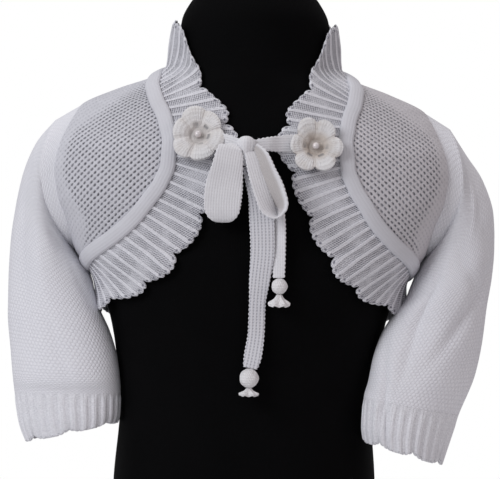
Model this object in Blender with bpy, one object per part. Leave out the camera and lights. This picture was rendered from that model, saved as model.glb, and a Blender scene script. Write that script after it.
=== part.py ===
# A child's knitted shrug with a ribbed frill, flowers and a tied bow, worn by a limbless torso form.
# Tables and sizes are in millimetres and degrees, and meshes are placed in metres.
# The form stands on z = 0 with its middle on the axis, its front looks along -Y, and left means -X.
import math

import bmesh
import bpy
from mathutils import Vector

MM = 0.001
SEAM_GAP = 0.35
BAND_GAP = 0.6
NECK_EASE = 1.3
NECK_EASE_LENGTH = 12
ARMHOLE_GAP = 0.9
CLEARANCE = 0.9
PANEL_WALL = 1.6
FRILL_WALL = 1.2
RIB_HEIGHT = 1.3
BAND_WIDTH = 9.5
BAND_THICKNESS = 4.4

# Level sections of the torso form: height, half width, half depth, centre's place in y, squareness.
FORM_SECTIONS = (
    (0, 99, 70, 0, 2.4),
    (42, 98, 72, 0, 2.4),
    (94, 94.5, 69, 0, 2.4),
    (140, 99, 71, -1, 2.4),
    (172, 106, 73, -2, 2.4),
    (190, 113, 73, -2, 2.5),
    (205, 123, 73, -2, 2.6),
    (216, 130, 72, -1, 2.7),
    (235, 139, 71, -1, 2.9),
    (253, 148, 69, -1, 3.0),
    (272, 152, 67, 0, 2.9),
    (285, 150, 65, 0, 2.7),
    (300, 144, 61, 1, 2.3),
    (318, 128, 55, 2, 1.95),
    (330, 102, 52, 3, 1.85),
    (341, 74, 50, 4, 1.85),
    (350, 62, 48, 5, 1.95),
    (365, 57, 47, 6, 2.0),
    (385, 55.5, 46, 6, 2.0),
    (401, 48, 40, 6, 2.0),
    (413, 35, 29, 6, 2.0),
    (421, 18, 15, 6, 2.0),
)
FORM_TOP = 424
FORM_SIDES = 32
FORM_RINGS = (
    0, 30, 70, 110, 145, 172, 190, 205, 222, 240, 258, 274, 288, 298, 306, 313, 320, 327, 334, 340, 346,
    353, 365, 385, 397, 407, 415, 420,
)

# The right half of the garment's inner edge, from the middle of the back neck, over the shoulder, down the
# front and round to the middle of the back hem. Each row joins a place on the band with the place on the
# frill's free edge that its ribs run to: band angle and height, frill edge angle and height, edge lift.
INNER_EDGE = (
    (180, 351, 180, 388, 4.0),
    (150, 350.3, 150, 387, 4.0),
    (118, 347.5, 120, 384, 4.0),
    (90, 343, 88, 380, 3.5),
    (68, 338, 66, 376, 3.0),
    (47, 329, 49, 355, 2.5),
    (34, 318, 20, 328, 2.2),
    (27.5, 305, 9.5, 311, 2.0),
    (24.3, 289, 7, 288, 2.0),
    (24, 275, 10.5, 264, 2.0),
    (26, 261, 14, 245, 2.0),
    (31, 245, 19, 225, 2.2),
    (37, 232, 26, 206, 2.5),
    (46, 220, 34, 194, 2.8),
    (58, 211, 43.5, 184, 3.0),
    (74, 204, 64, 175, 3.0),
    (90, 200, 87, 169, 3.5),
    (118, 198, 118, 164, 4.5),
    (150, 196.5, 150, 160, 6.0),
    (180, 196, 180, 158, 6.5),
)
RIDGE_ROW = 3
SIDE_ROW = 16
OPENING_SHIFT = 1.6

RIBS_IN_A_SCALLOP = 4
COLLAR_RIBS = 40
FRONT_RIBS = 36
HEM_RIBS = 48
CUFF_RIBS = 28
RIB_SHARPNESS = 35
SCALLOP_DEPTH = 0.09
RUFFLE = 1.1

# The armhole is an upright oval round the form's side, given by its middle height and two half sizes.
ARMHOLE_MIDDLE = 264.5
ARMHOLE_HALF_HEIGHT = 53.5
ARMHOLE_REACH = 29

# Sections of a sleeve, from the shoulder to the cuff's edge. Each has its outer and inner ends as seen from
# the front (distance from the middle, height), half depth, place in y, turn, and bulge along the arm.
LEFT_SLEEVE = (
    (147.5, 308.5, 133.5, 210, 36, 0, 0, 15),
    (161, 292, 131, 202, 37, -1, 2, 12),
    (170.5, 269, 125, 196, 36, -3, 5, 8),
    (176, 242, 119, 188, 35, -6, 9, 4),
    (179, 217, 115, 178, 33, -9, 12, 2),
    (180, 190, 111, 166, 31, -12, 15, 0),
    (180, 164, 106, 151, 30, -14, 17, 0),
    (177.5, 138, 100, 132, 29, -15, 18, 0),
    (175, 115, 96.5, 115, 28, -16, 18, 0),
    (173.5, 104, 95.5, 106, 26, -16, 18, 0),
    (169, 80, 94.5, 92, 26, -16, 18, 0),
    (163.5, 67, 95, 84, 27, -16, 18, 0),
)
RIGHT_SLEEVE = (
    (147, 309, 134, 210, 36, 0, 0, 15),
    (160, 290, 133, 203, 37, -1, 2, 12),
    (173, 271, 130.5, 197, 36, -4, 5, 8),
    (181.5, 246, 129, 188, 35, -8, 10, 4),
    (183, 222, 124, 178, 33, -13, 15, 2),
    (181.5, 200, 113, 167, 31, -18, 20, 0),
    (178, 176, 103, 153, 30, -22, 23, 0),
    (175, 150, 96, 136, 29, -28, 27, 0),
    (170, 126, 89.5, 119, 28, -33, 28, 0),
    (158, 96, 86.5, 108, 26, -39, 29, 0),
    (150, 72, 85.5, 88, 26, -42, 29, 0),
    (145.5, 59, 87, 76, 27, -43, 29, 0),
)
CUFF_ROW = 9

# Soft troughs of a sleeve: where around it (0 outer, 90 front, 180 inner), where along it as a row of its
# sections, how far they spread, and how deep they are.
LEFT_FOLDS = (
    (62, 4.6, 24, 2.6, 3.5),
    (118, 3.6, 22, 1.8, 3.0),
    (205, 5.5, 26, 2.2, 3.0),
    (285, 4.2, 26, 2.4, 3.0),
)
RIGHT_FOLDS = (
    (95, 4.4, 24, 1.6, 3.5),
    (130, 7.0, 20, 2.6, 4.0),
    (55, 3.0, 24, 1.6, 3.0),
    (250, 5.0, 28, 2.2, 3.0),
)

FLOWER_RADIUS = 20.5
FLOWER_PETALS = 6
PEARL_RADIUS = 2.6
PEARL_LIFT = 2.4
# Each flower's middle as seen from the front, in x and z.
FLOWER_PLACES = {"left": (-42, 297), "right": (46, 292)}

# Routes of the flat knitted ties: x, y, z, turn of the strip's width from X towards Y, and width.
TIE_WALL = 2.2
TIE_STEP = 7.5
TIE_ROUTES = {
    "tie_root_left": (
        (-22.6, -70.9, 292.5, 0, 13), (-18, -73.6, 292, 0, 12), (-13, -76.8, 290.5, 0, 11),
        (-9.3, -78.2, 289.5, 0, 9),
    ),
    "tie_root_right": (
        (25, -70.8, 293, 0, 13), (20, -72.5, 292.5, 0, 12), (11, -77, 291.5, 0, 10), (0.3, -78.4, 290, 0, 8),
    ),
    "bow_loop_left": (
        (-13.2, -81.5, 290, 22, 7), (-15.5, -86.8, 287, 12, 18), (-17.5, -89.5, 274, 8, 23),
        (-20, -89.5, 256, 2, 27), (-20.5, -88, 243, -2, 25), (-20.3, -84.5, 236, -4, 18),
        (-19.5, -81, 242, -4, 22), (-18, -80, 256, 0, 21), (-14.5, -81, 272, 4, 16),
        (-12.4, -80.6, 281, 8, 6),
    ),
    "bow_loop_right": (
        (-1.2, -82.9, 275.5, 30, 7), (2, -87.5, 266, 38, 12), (6.5, -90, 253, 42, 14),
        (13, -90, 242.5, 50, 15), (20.5, -91, 238.5, 64, 14), (26, -91.5, 245, 80, 13),
        (27, -91.5, 258, 92, 13),
        (22.5, -90.5, 272, 104, 12), (14, -87, 284.5, 112, 10), (1.5, -83, 288.5, 100, 7),
    ),
    "tail_long": (
        (-3.3, -80.4, 274.9, 20, 8), (1, -82, 266, 10, 12), (6, -82.8, 252, 6, 16), (8.2, -82.8, 236, 0, 18),
        (9.3, -82.4, 214, -4, 17.6), (7.6, -81, 192, 2, 15), (6.4, -80, 174, 8, 12), (6.2, -79, 156, 2, 12),
        (4.2, -78.5, 138, -6, 13), (2.4, -78.5, 128.7, -4, 10.5),
    ),
    "tail_short": (
        (0.8, -77.6, 281.9, -30, 8), (11, -78.5, 266, -34, 11), (18, -79.5, 250, -30, 11),
        (20.5, -80.5, 232, -22, 11), (21, -81.5, 214, -16, 9.5), (20.8, -82, 197.7, -10, 8),
    ),
}
# Bobbles at the ends of the tails: middle, radius, frill's middle height, frill's radius.
BOBBLES = {
    "long": ((1.8, -79, 121.4), 7.0, 111.3, 6.2),
    "short": ((21.4, -82.6, 191.4), 6.0, 180.4, 6.6),
}
KNOT_MIDDLE = (-4.4, -81, 286)
KNOT_HALF = (5.2, 5.2, 11)

KNIT_WHITE = (0.80, 0.80, 0.86)
FLOWER_WHITE = (0.86, 0.85, 0.84)
PEARL_WHITE = (0.92, 0.90, 0.88)
FORM_BLACK = (0.008, 0.008, 0.010)


class Column:
    """One column of a table, read as a smooth curve that never overshoots its rows."""

    def __init__(self, stations, values):
        self.stations = stations
        self.values = values
        steps = [b - a for a, b in zip(stations, stations[1:])]
        rises = [(b - a) / step for a, b, step in zip(values, values[1:], steps)]
        self.slopes = [rises[0]]
        for before, after in zip(rises, rises[1:]):
            self.slopes.append(2 * before * after / (before + after) if before * after > 0 else 0.0)
        self.slopes.append(rises[-1])

    def __call__(self, at):
        row = 0
        while row < len(self.stations) - 2 and at > self.stations[row + 1]:
            row += 1
        step = self.stations[row + 1] - self.stations[row]
        s = min(max((at - self.stations[row]) / step, 0.0), 1.0)
        start, end = self.values[row], self.values[row + 1]
        eased = start + (end - start) * s * s * (3 - 2 * s)
        return eased + step * s * (1 - s) * (self.slopes[row] * (1 - s) - self.slopes[row + 1] * s)


def columns_of(table, stations):
    """Every column of a table as a smooth curve over the given stations."""
    return [Column(stations, values) for values in zip(*table)]


def smooth(value):
    """Ease from 0 to 1."""
    s = min(max(value, 0.0), 1.0)
    return s * s * (3 - 2 * s)


def blend(a, b, share):
    """The point a share of the way from a to b."""
    return a + (b - a) * share


FORM_HEIGHTS = [row[0] for row in FORM_SECTIONS]
FORM_HALF_WIDTH, FORM_HALF_DEPTH, FORM_MIDDLE, FORM_SQUARENESS = columns_of(
    [row[1:] for row in FORM_SECTIONS], FORM_HEIGHTS)


def form_point(angle, height):
    """Point of the form's skin at an angle from the front, in degrees, and a height."""
    sine = math.sin(math.radians(angle))
    cosine = math.cos(math.radians(angle))
    power = FORM_SQUARENESS(height)
    reach = (abs(sine) ** power + abs(cosine) ** power) ** (-1 / power)
    return Vector((
        FORM_HALF_WIDTH(height) * reach * sine,
        FORM_MIDDLE(height) - FORM_HALF_DEPTH(height) * reach * cosine,
        height,
    ))


def form_axes(angle, height):
    """The skin's change per degree round, its change per millimetre up, and its outward normal."""
    around = (form_point(angle + 0.5, height) - form_point(angle - 0.5, height))
    upward = (form_point(angle, height + 0.5) - form_point(angle, height - 0.5))
    return around, upward, around.cross(upward).normalized()


def raised(angle, height, lift):
    """Point at a distance over the form's skin."""
    return form_point(angle, height) + form_axes(angle, height)[2] * lift


def slide(angle, height, direction, distance):
    """Angle and height of the place that lies a distance away over the skin, in a given direction."""
    around, upward, _ = form_axes(angle, height)
    aa, au, uu = around.dot(around), around.dot(upward), upward.dot(upward)
    a_way, u_way = around.dot(direction) * distance, upward.dot(direction) * distance
    area = aa * uu - au * au
    return (
        angle + (uu * a_way - au * u_way) / area,
        height + (aa * u_way - au * a_way) / area,
    )


def inner_edge_stations():
    """Length along the inner edge at each of its rows, measured midway between band and frill edge."""
    middles = [(form_point(row[0], row[1]) + form_point(row[2], row[3])) / 2 for row in INNER_EDGE]
    lengths = [0.0]
    for before, after in zip(middles, middles[1:]):
        lengths.append(lengths[-1] + (after - before).length)
    return lengths


EDGE_STATIONS = inner_edge_stations()
BAND_ANGLE, BAND_HEIGHT, FRILL_ANGLE, FRILL_HEIGHT, FRILL_LIFT = columns_of(INNER_EDGE, EDGE_STATIONS)
RIDGE_STATION = EDGE_STATIONS[RIDGE_ROW]
SIDE_STATION = EDGE_STATIONS[SIDE_ROW]
LAST_STATION = EDGE_STATIONS[-1]


def mirrored(angle, side):
    """Angle on the right or left half, with side 1 or -1."""
    return angle if side > 0 else 360 - angle


def shift_at(station):
    """How far the front opening stands off the middle, in degrees, at a station."""
    share = (station - RIDGE_STATION) / (SIDE_STATION - RIDGE_STATION)
    return OPENING_SHIFT * math.sin(math.pi * share) if 0 < share < 1 else 0.0


def band_place(station, side):
    """Angle and height of the band's middle line."""
    return mirrored(BAND_ANGLE(station) + side * shift_at(station), side), BAND_HEIGHT(station)


def band_frame(station, side):
    """Point of the band's middle line on the skin, its direction, outward normal and way to the panels."""
    here = band_place(station, side)
    before = form_point(*band_place(station - 1, side))
    after = form_point(*band_place(station + 1, side))
    if station < 1:
        before = form_point(*band_place(1, -side))
    if station > LAST_STATION - 1:
        after = form_point(*band_place(LAST_STATION - 1, -side))
    along = (after - before).normalized() * side
    normal = form_axes(*here)[2]
    return form_point(*here), along, normal, normal.cross(along).normalized()


def beside_band(station, side, distance):
    """Angle and height of the place beside the band, towards the panels where distance is positive."""
    outward = band_frame(station, side)[3]
    return slide(*band_place(station, side), outward, distance)


def frill_edge(station, side):
    """Angle and height of the frill's free edge, without its scallops."""
    return mirrored(FRILL_ANGLE(station) + side * shift_at(station), side), FRILL_HEIGHT(station)


def fabric(name, colour, roughness):
    """Plain material of one sub-part."""
    material = bpy.data.materials.new(name)
    material.use_nodes = True
    shader = material.node_tree.nodes["Principled BSDF"]
    shader.inputs["Base Color"].default_value = (*colour, 1)
    shader.inputs["Roughness"].default_value = roughness
    shader.inputs["Metallic"].default_value = 0
    material.diffuse_color = (*colour, 1)
    return material


def finished(name, mesh_data, colour, roughness, sharp_angle=50):
    """Object made from a bmesh in millimetres, with faces out, smooth shading and its own material."""
    bmesh.ops.recalc_face_normals(mesh_data, faces=mesh_data.faces)
    bmesh.ops.scale(mesh_data, vec=(MM, MM, MM), verts=mesh_data.verts)
    mesh = bpy.data.meshes.new(name)
    mesh_data.to_mesh(mesh)
    mesh_data.free()
    mesh.materials.append(fabric(name, colour, roughness))
    mesh.shade_smooth()
    mesh.set_sharp_from_angle(angle=math.radians(sharp_angle))
    made = bpy.data.objects.new(name, mesh)
    bpy.context.collection.objects.link(made)
    return made


def wall(name, columns, rows, inner, outward, tube=False, sharp_angle=50):
    """A cloth wall: a grid laid on inner(u, v), and its copy pushed out by outward(u, v)."""
    cloth = bmesh.new()
    bmesh.ops.create_grid(cloth, x_segments=columns, y_segments=rows, size=0.5)
    push = cloth.verts.layers.float_vector.new("push")
    for vert in cloth.verts:
        u, v = vert.co.x + 0.5, vert.co.y + 0.5
        vert[push] = outward(u, v)
        vert.co = inner(u, v)
    if tube:
        bmesh.ops.remove_doubles(cloth, verts=cloth.verts, dist=0.001)
    extruded = bmesh.ops.extrude_face_region(cloth, geom=cloth.faces[:])
    for item in extruded["geom"]:
        if isinstance(item, bmesh.types.BMVert):
            item.co += item[push]
    return finished(name, cloth, KNIT_WHITE, 0.9, sharp_angle)


def strand(name, sides, steps, surface, colour=KNIT_WHITE):
    """A solid strip or cord: a tube laid on surface(u, v), u round it and v along it, both ends closed."""
    cloth = bmesh.new()
    bmesh.ops.create_grid(cloth, x_segments=sides, y_segments=steps, size=0.5)
    for vert in cloth.verts:
        vert.co = surface(vert.co.x + 0.5, vert.co.y + 0.5)
    bmesh.ops.remove_doubles(cloth, verts=cloth.verts, dist=0.001)
    bmesh.ops.holes_fill(cloth, edges=cloth.edges, sides=0)
    return finished(name, cloth, colour, 0.9)


def torso_form():
    """The black form: a smooth closed body with a flat base and a domed neck."""
    body = bmesh.new()
    bmesh.ops.create_grid(body, x_segments=FORM_SIDES, y_segments=len(FORM_RINGS) - 1, size=0.5)
    for vert in body.verts:
        height = FORM_RINGS[round((vert.co.y + 0.5) * (len(FORM_RINGS) - 1))]
        vert.co = form_point((vert.co.x + 0.5) * 360, height)
    bmesh.ops.remove_doubles(body, verts=body.verts, dist=0.001)
    caps = bmesh.ops.holes_fill(body, edges=body.edges, sides=0)["faces"]
    top = max(caps, key=lambda face: face.calc_center_median().z)
    centre = bmesh.ops.poke(body, faces=[top])["verts"][0]
    centre.co.z = FORM_TOP
    finished("torso_form", body, FORM_BLACK, 0.8)


def armhole_place(around, side, gap=0.0):
    """Angle and height on the armhole seam: around is 0 on top, 90 in front, 180 below and 270 behind."""
    sine = math.sin(math.radians(around))
    reach = (ARMHOLE_REACH * abs(sine) ** 0.9 + gap) * (1 if sine >= 0 else -1)
    height = ARMHOLE_MIDDLE + ARMHOLE_HALF_HEIGHT * math.cos(math.radians(around))
    return mirrored(90 - reach, side), height


SEAM_ANGLE = 0.2
PANEL_EASE = 1.95


def panel_wall(lift_place):
    """Inner point and outward push of a panel, from a function that gives an angle and a height."""
    def inner(u, v):
        ease = PANEL_EASE * math.sqrt(max(0.0, math.sin(math.pi * u) * math.sin(math.pi * v)))
        return raised(*lift_place(u, v), CLEARANCE + ease)

    def outward(u, v):
        return form_axes(*lift_place(u, v))[2] * PANEL_WALL

    return inner, outward


FRONT_CROWDING = 1.15


def front(name, side):
    """One front: from the band to the armhole, and from the shoulder seam down to the short side seam."""
    start = RIDGE_STATION + SEAM_GAP / 2
    end = SIDE_STATION - SEAM_GAP / 2

    def place(u, v):
        along = v ** FRONT_CROWDING
        near = beside_band(start + (end - start) * along, side, BAND_WIDTH / 2 + BAND_GAP)
        far = armhole_place(180 * along, side, SEAM_ANGLE)
        return blend(near[0], far[0], u), blend(near[1], far[1], u)

    wall(name, 8, 16, *panel_wall(place))


BACK_ROWS = 14
SIDE_SEAM_ROWS = 1
SHOULDER_ROWS = 3


def back():
    """The back in one piece: the space between neck band, hem band, armholes and short seams."""
    neck_end = RIDGE_STATION - SEAM_GAP / 2
    hem_end = SIDE_STATION + SEAM_GAP / 2
    offset = BAND_WIDTH / 2 + BAND_GAP

    def edge(share, end, middle):
        side = 1 if share < 0.5 else -1
        station = blend(end, middle, 1 - abs(2 * share - 1))
        return beside_band(station, side, offset)

    def flank(share, side):
        row = share * BACK_ROWS
        armhole_rows = BACK_ROWS - SIDE_SEAM_ROWS - SHOULDER_ROWS
        low = beside_band(hem_end, side, offset)
        high = beside_band(neck_end, side, offset)
        around = 180 + 180 * min(max((row - SIDE_SEAM_ROWS) / armhole_rows, 0), 1)
        angle, height = armhole_place(around, side, SEAM_ANGLE)
        if around == 180 or around == 360:
            angle = mirrored(90 + SEAM_ANGLE, side)
        if row < SIDE_SEAM_ROWS:
            return blend(low[0], angle, row / SIDE_SEAM_ROWS), blend(low[1], height, row / SIDE_SEAM_ROWS)
        climb = max((row - SIDE_SEAM_ROWS - armhole_rows) / SHOULDER_ROWS, 0)
        return blend(angle, high[0], climb), blend(height, high[1], climb)

    def place(u, v):
        lower, upper = edge(u, hem_end, LAST_STATION), edge(u, neck_end, 0)
        right, left = flank(v, 1), flank(v, -1)
        corners = (edge(0, hem_end, LAST_STATION), edge(1, hem_end, LAST_STATION),
                   edge(0, neck_end, 0), edge(1, neck_end, 0))
        result = []
        for i in range(2):
            sides = blend(lower[i], upper[i], v) + blend(right[i], left[i], u)
            frame = blend(blend(corners[0][i], corners[1][i], u), blend(corners[2][i], corners[3][i], u), v)
            result.append(sides - frame)
        return result

    wall("back", 24, BACK_ROWS, *panel_wall(place))


def edge_stretches():
    """The stretches of band and frill: name, place along it to station and side, ribs, rows, band steps."""
    half_gap = SEAM_GAP / 2
    front_start, front_end = RIDGE_STATION + half_gap, SIDE_STATION - half_gap
    neck_end, hem_end = RIDGE_STATION - half_gap, SIDE_STATION + half_gap

    def half(side):
        return lambda share: (blend(front_start, front_end, share), side)

    def neck(share):
        return neck_end * abs(2 * share - 1), 1 if share < 0.5 else -1

    def hem(share):
        return LAST_STATION - (LAST_STATION - hem_end) * abs(2 * share - 1), 1 if share < 0.5 else -1

    return (
        ("front_right", half(1), FRONT_RIBS, 3, 30),
        ("front_left", half(-1), FRONT_RIBS, 3, 30),
        ("neck", neck, COLLAR_RIBS, 2, 24),
        ("hem", hem, HEM_RIBS, 2, 26),
    )


BAND_SQUARENESS = 2.8


def band(name, stretch, steps):
    """A stretch of the smooth tubular band, a flattened tube that covers the panels' edge."""
    def surface(u, v):
        station, side = stretch(v)
        point, _, normal, outward = band_frame(station, side)
        sine, cosine = math.sin(2 * math.pi * u), math.cos(2 * math.pi * u)
        reach = (abs(sine) ** BAND_SQUARENESS + abs(cosine) ** BAND_SQUARENESS) ** (-1 / BAND_SQUARENESS)
        lift = CLEARANCE + BAND_THICKNESS / 2 * (1 + sine * reach)
        return point + outward * (cosine * reach * BAND_WIDTH / 2) + normal * lift

    strand(name, 8, steps, surface)


def frill(name, stretch, ribs, rows):
    """A stretch of frill: plain inside, raised ribs outside, and a scalloped, softly waved free edge."""
    half_turns = ribs / RIBS_IN_A_SCALLOP

    def place(u, v):
        station, side = stretch(u)
        hollow = NECK_EASE * smooth((RIDGE_STATION - station) / NECK_EASE_LENGTH)
        root = beside_band(station, side, -BAND_WIDTH / 2 - BAND_GAP - hollow)
        edge = frill_edge(station, side)
        lobe = abs(math.sin(math.pi * half_turns * u)) ** 0.7
        share = v * (1 + SCALLOP_DEPTH * (lobe - 0.6) * v)
        wave = RUFFLE * (lobe - 0.4) * v * v
        lift = CLEARANCE + FRILL_LIFT(station) * v ** 1.5 + wave
        return blend(root[0], edge[0], share), blend(root[1], edge[1], share), lift

    def inner(u, v):
        return raised(*place(u, v))

    def outward(u, v):
        angle, height, _ = place(u, v)
        rib = 0.5 - 0.5 * math.cos(2 * math.pi * ribs * u)
        fade = 1 - 0.4 * smooth(v)
        return form_axes(angle, height)[2] * (FRILL_WALL + RIB_HEIGHT * rib * fade)

    wall(name, 2 * ribs, rows, inner, outward, sharp_angle=RIB_SHARPNESS)


class Sleeve:
    """A sleeve with its cuff, as a surface of rings that starts on the armhole."""

    def __init__(self, side, table, folds):
        self.side = side
        self.folds = folds
        self.columns = columns_of(table, list(range(1, len(table) + 1)))

    def ring(self, row, around, inset):
        """Point of a free ring, with its wall's inset, its folds and its bulge."""
        outer_x, outer_z, inner_x, inner_z, depth, y, turn, bulge = [column(row) for column in self.columns]
        across = Vector((outer_x - inner_x, 0, outer_z - inner_z))
        half = across.length / 2
        across.normalize()
        arm = Vector((across.z, 0, -across.x))
        tilt = math.radians(turn)
        depth -= inset
        half_width = math.sqrt((half - inset) ** 2 - (depth * math.sin(tilt)) ** 2) / math.cos(tilt)
        width_way = across * math.cos(tilt) + Vector((0, math.sin(tilt), 0))
        depth_way = Vector((0, -math.cos(tilt), 0)) + across * math.sin(tilt)
        angle = math.radians(around)
        spoke = width_way * (half_width * math.cos(angle)) + depth_way * (depth * math.sin(angle))
        trough = 0.0
        for place, at, spread, length, deep in self.folds:
            off = (around - place + 180) % 360 - 180
            trough += deep * math.exp(-(off / spread) ** 2 - ((row - at) / length) ** 2)
        spoke *= 1 - trough / spoke.length
        centre = Vector(((outer_x + inner_x) / 2, y, (outer_z + inner_z) / 2))
        return centre + spoke + arm * (bulge * math.sin(angle) ** 2)

    def root(self, around):
        """Point of the armhole seam that the wall starts from, just clear of the panels' edge."""
        near = armhole_place(around, 1, SEAM_ANGLE)
        skin = raised(*near, CLEARANCE)
        normal = form_axes(*near)[2]
        ahead = armhole_place(around + 1, 1, SEAM_ANGLE)
        into = normal.cross(raised(*ahead, CLEARANCE) - skin).normalized()
        own = (self.ring(1, around + 1, PANEL_WALL) - self.ring(1, around - 1, PANEL_WALL)).cross(
            self.ring(1, around, PANEL_WALL) - skin).normalized()
        under = smooth((0.3 - own.dot(normal)) / 0.7)
        aside = (1 - under) * (ARMHOLE_GAP + max(0.0, -PANEL_WALL * own.dot(into)))
        above = under * (PANEL_WALL + ARMHOLE_GAP + PANEL_WALL * max(0.0, -own.dot(normal)))
        return skin + into * aside + normal * above

    def point(self, row, around):
        """Inside point of the wall at a row of the table, 0 being the armhole."""
        place = self.ring(max(row, 1.0), around, PANEL_WALL)
        if row < 1:
            place = self.root(around).lerp(place, row)
        return Vector((place.x * self.side, place.y, place.z))

    def normal(self, row, around):
        """Outward direction of the wall."""
        down = self.point(row + 0.25, around) - self.point(max(row - 0.25, 0), around)
        round_it = self.point(row, around + 2) - self.point(row, around - 2)
        return round_it.cross(down).normalized() * self.side


SLEEVE_SIDES = 24
SLEEVE_STEPS = 11


def sleeve(name, shape):
    """A sleeve from the armhole to the top of its cuff."""
    def inner(u, v):
        return shape.point(v * (CUFF_ROW + 1), u * 360)

    def outward(u, v):
        return shape.normal(v * (CUFF_ROW + 1), u * 360) * PANEL_WALL

    wall(name, SLEEVE_SIDES, SLEEVE_STEPS, inner, outward, tube=True)


CUFF_PULL = 0.8
CUFF_GAP = 0.04
CUFF_SCALLOP = 0.22


def cuff(name, shape, rows):
    """A ribbed cuff: plain inside, raised ribs outside, and a scalloped edge."""
    start = CUFF_ROW + 1 + CUFF_GAP

    def row_at(u, v):
        lobe = abs(math.sin(math.pi * CUFF_RIBS / RIBS_IN_A_SCALLOP * u)) ** 0.7
        return start + (rows - start) * v - CUFF_SCALLOP * (1 - lobe) * v * v

    def inner(u, v):
        row = row_at(u, v)
        pull = CUFF_PULL * (1 - smooth(v * 2))
        return shape.point(row, u * 360) - shape.normal(row, u * 360) * pull

    def outward(u, v):
        rib = 0.5 - 0.5 * math.cos(2 * math.pi * CUFF_RIBS * u)
        return shape.normal(row_at(u, v), u * 360) * (FRILL_WALL + RIB_HEIGHT * rib)

    wall(name, 2 * CUFF_RIBS, 2, inner, outward, tube=True, sharp_angle=RIB_SHARPNESS)


FLOWER_SIDES = 30
FLOWER_RINGS = 7
FLOWER_RISE = 7.5
FLOWER_LIFT = 3.7
FLOWER_FLOOR = 1.0
FLOWER_CUP = 3.0
PETAL_NOTCH = 0.22
PETAL_VALLEY = 0.45


def flower_frame(place):
    """A flower's middle on the form, and its axes: across, up and out."""
    x, z = place
    angle = 0.0
    for _ in range(20):
        around, _, _ = form_axes(angle, z)
        angle += (x - raised(angle, z, FLOWER_LIFT).x) / around.x
    out = form_axes(angle, z)[2]
    across = Vector((0, 0, 1)).cross(out).normalized() * -1
    return raised(angle, z, FLOWER_LIFT), across, out.cross(across).normalized() * -1, out


def flower(name, place):
    """A crocheted flower: one closed body of six puffed petals round a sunk middle."""
    middle, across, up, out = flower_frame(place)

    def surface(u, v):
        petal = abs(math.cos(FLOWER_PETALS * math.pi * u))
        reach = FLOWER_RADIUS * (1 - PETAL_NOTCH * (1 - petal ** 0.6))
        upper = v < 0.5
        share = math.sin(math.pi * min(max(v, 0.03), 0.97))
        rise = FLOWER_RISE * blend(PETAL_VALLEY, 1, petal)
        puff = rise * math.sin(math.pi * share ** 1.4 * 0.94) ** 0.7
        height = FLOWER_CUP * share ** 2 + FLOWER_FLOOR + (puff if upper else -0.6)
        turn = 2 * math.pi * u
        spread = reach * share
        return middle + across * (spread * math.cos(turn)) + up * (spread * math.sin(turn)) + out * height

    strand(name, FLOWER_SIDES, FLOWER_RINGS, surface, FLOWER_WHITE)
    return middle, out


def pearl(name, middle, out):
    """The pearl in a flower's middle."""
    bead = bmesh.new()
    bmesh.ops.create_uvsphere(bead, u_segments=10, v_segments=6, radius=PEARL_RADIUS)
    bmesh.ops.translate(bead, vec=middle + out * (PEARL_RADIUS + PEARL_LIFT), verts=bead.verts)
    finished(name, bead, PEARL_WHITE, 0.2, 80)


def tie(name, route):
    """A flat knitted tie along its route, with rounded edges."""
    lengths = [0.0]
    for before, after in zip(route, route[1:]):
        lengths.append(lengths[-1] + math.dist(before[:3], after[:3]))
    columns = columns_of(route, lengths)
    sideways = abs(route[-1][0] - route[0][0]) > abs(route[-1][2] - route[0][2])

    def surface(u, v):
        at = v * lengths[-1]
        x, y, z, turn, width = [column(at) for column in columns]
        before = Vector([column(max(at - 0.5, 0)) for column in columns[:3]])
        after = Vector([column(min(at + 0.5, lengths[-1])) for column in columns[:3]])
        along = (after - before).normalized()
        level = Vector((math.cos(math.radians(turn)), math.sin(math.radians(turn)), 0))
        if sideways:
            level = Vector((0, 0, 1))
        side = (level - along * level.dot(along)).normalized()
        face = side.cross(along)
        angle = 2 * math.pi * u
        thick = TIE_WALL / 2 * math.copysign(abs(math.sin(angle)) ** 0.6, math.sin(angle))
        return Vector((x, y, z)) + side * (width / 2 * math.cos(angle)) + face * thick

    strand(name, 8, max(8, round(lengths[-1] / TIE_STEP)), surface)


def knot():
    """The bow's knot, a plump wrap of the tie."""
    wrap = bmesh.new()
    bmesh.ops.create_uvsphere(wrap, u_segments=12, v_segments=8, radius=1)
    bmesh.ops.scale(wrap, vec=KNOT_HALF, verts=wrap.verts)
    bmesh.ops.translate(wrap, vec=KNOT_MIDDLE, verts=wrap.verts)
    finished("bow_knot", wrap, KNIT_WHITE, 0.9)


# Rings of a bobble's frill: share of its radius, and how far down its height.
BOBBLE_FRILL_PROFILE = ((0.25, 0.0), (0.5, 0.35), (1.0, 0.75), (0.9, 1.0), (0.3, 0.8))
BOBBLE_FRILL_DEPTH = 0.75
BOBBLE_FRILL_WAVE = 0.16
BOBBLE_FRILL_WAVES = 6


def bobble(name, middle, radius, frill_height, frill_radius):
    """A crocheted bobble, and the small waved frill that hangs under it."""
    ball = bmesh.new()
    bmesh.ops.create_uvsphere(ball, u_segments=12, v_segments=8, radius=radius)
    bmesh.ops.translate(ball, vec=middle, verts=ball.verts)
    finished("bobble_" + name, ball, FLOWER_WHITE, 0.9)
    top = middle[2] - radius - SEAM_GAP

    def surface(u, v):
        angle = 2 * math.pi * u
        share, drop = BOBBLE_FRILL_PROFILE[round(v * (len(BOBBLE_FRILL_PROFILE) - 1))]
        wave = BOBBLE_FRILL_WAVE * math.cos(BOBBLE_FRILL_WAVES * angle)
        reach = frill_radius * share * (1 + wave * share)
        height = blend(top, 2 * frill_height - top, drop)
        flat = BOBBLE_FRILL_DEPTH * reach
        return Vector((middle[0] + reach * math.cos(angle), middle[1] + flat * math.sin(angle), height))

    strand("bobble_frill_" + name, 18, len(BOBBLE_FRILL_PROFILE) - 1, surface, FLOWER_WHITE)


for leftover in list(bpy.data.objects):
    bpy.data.objects.remove(leftover, do_unlink=True)

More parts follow.
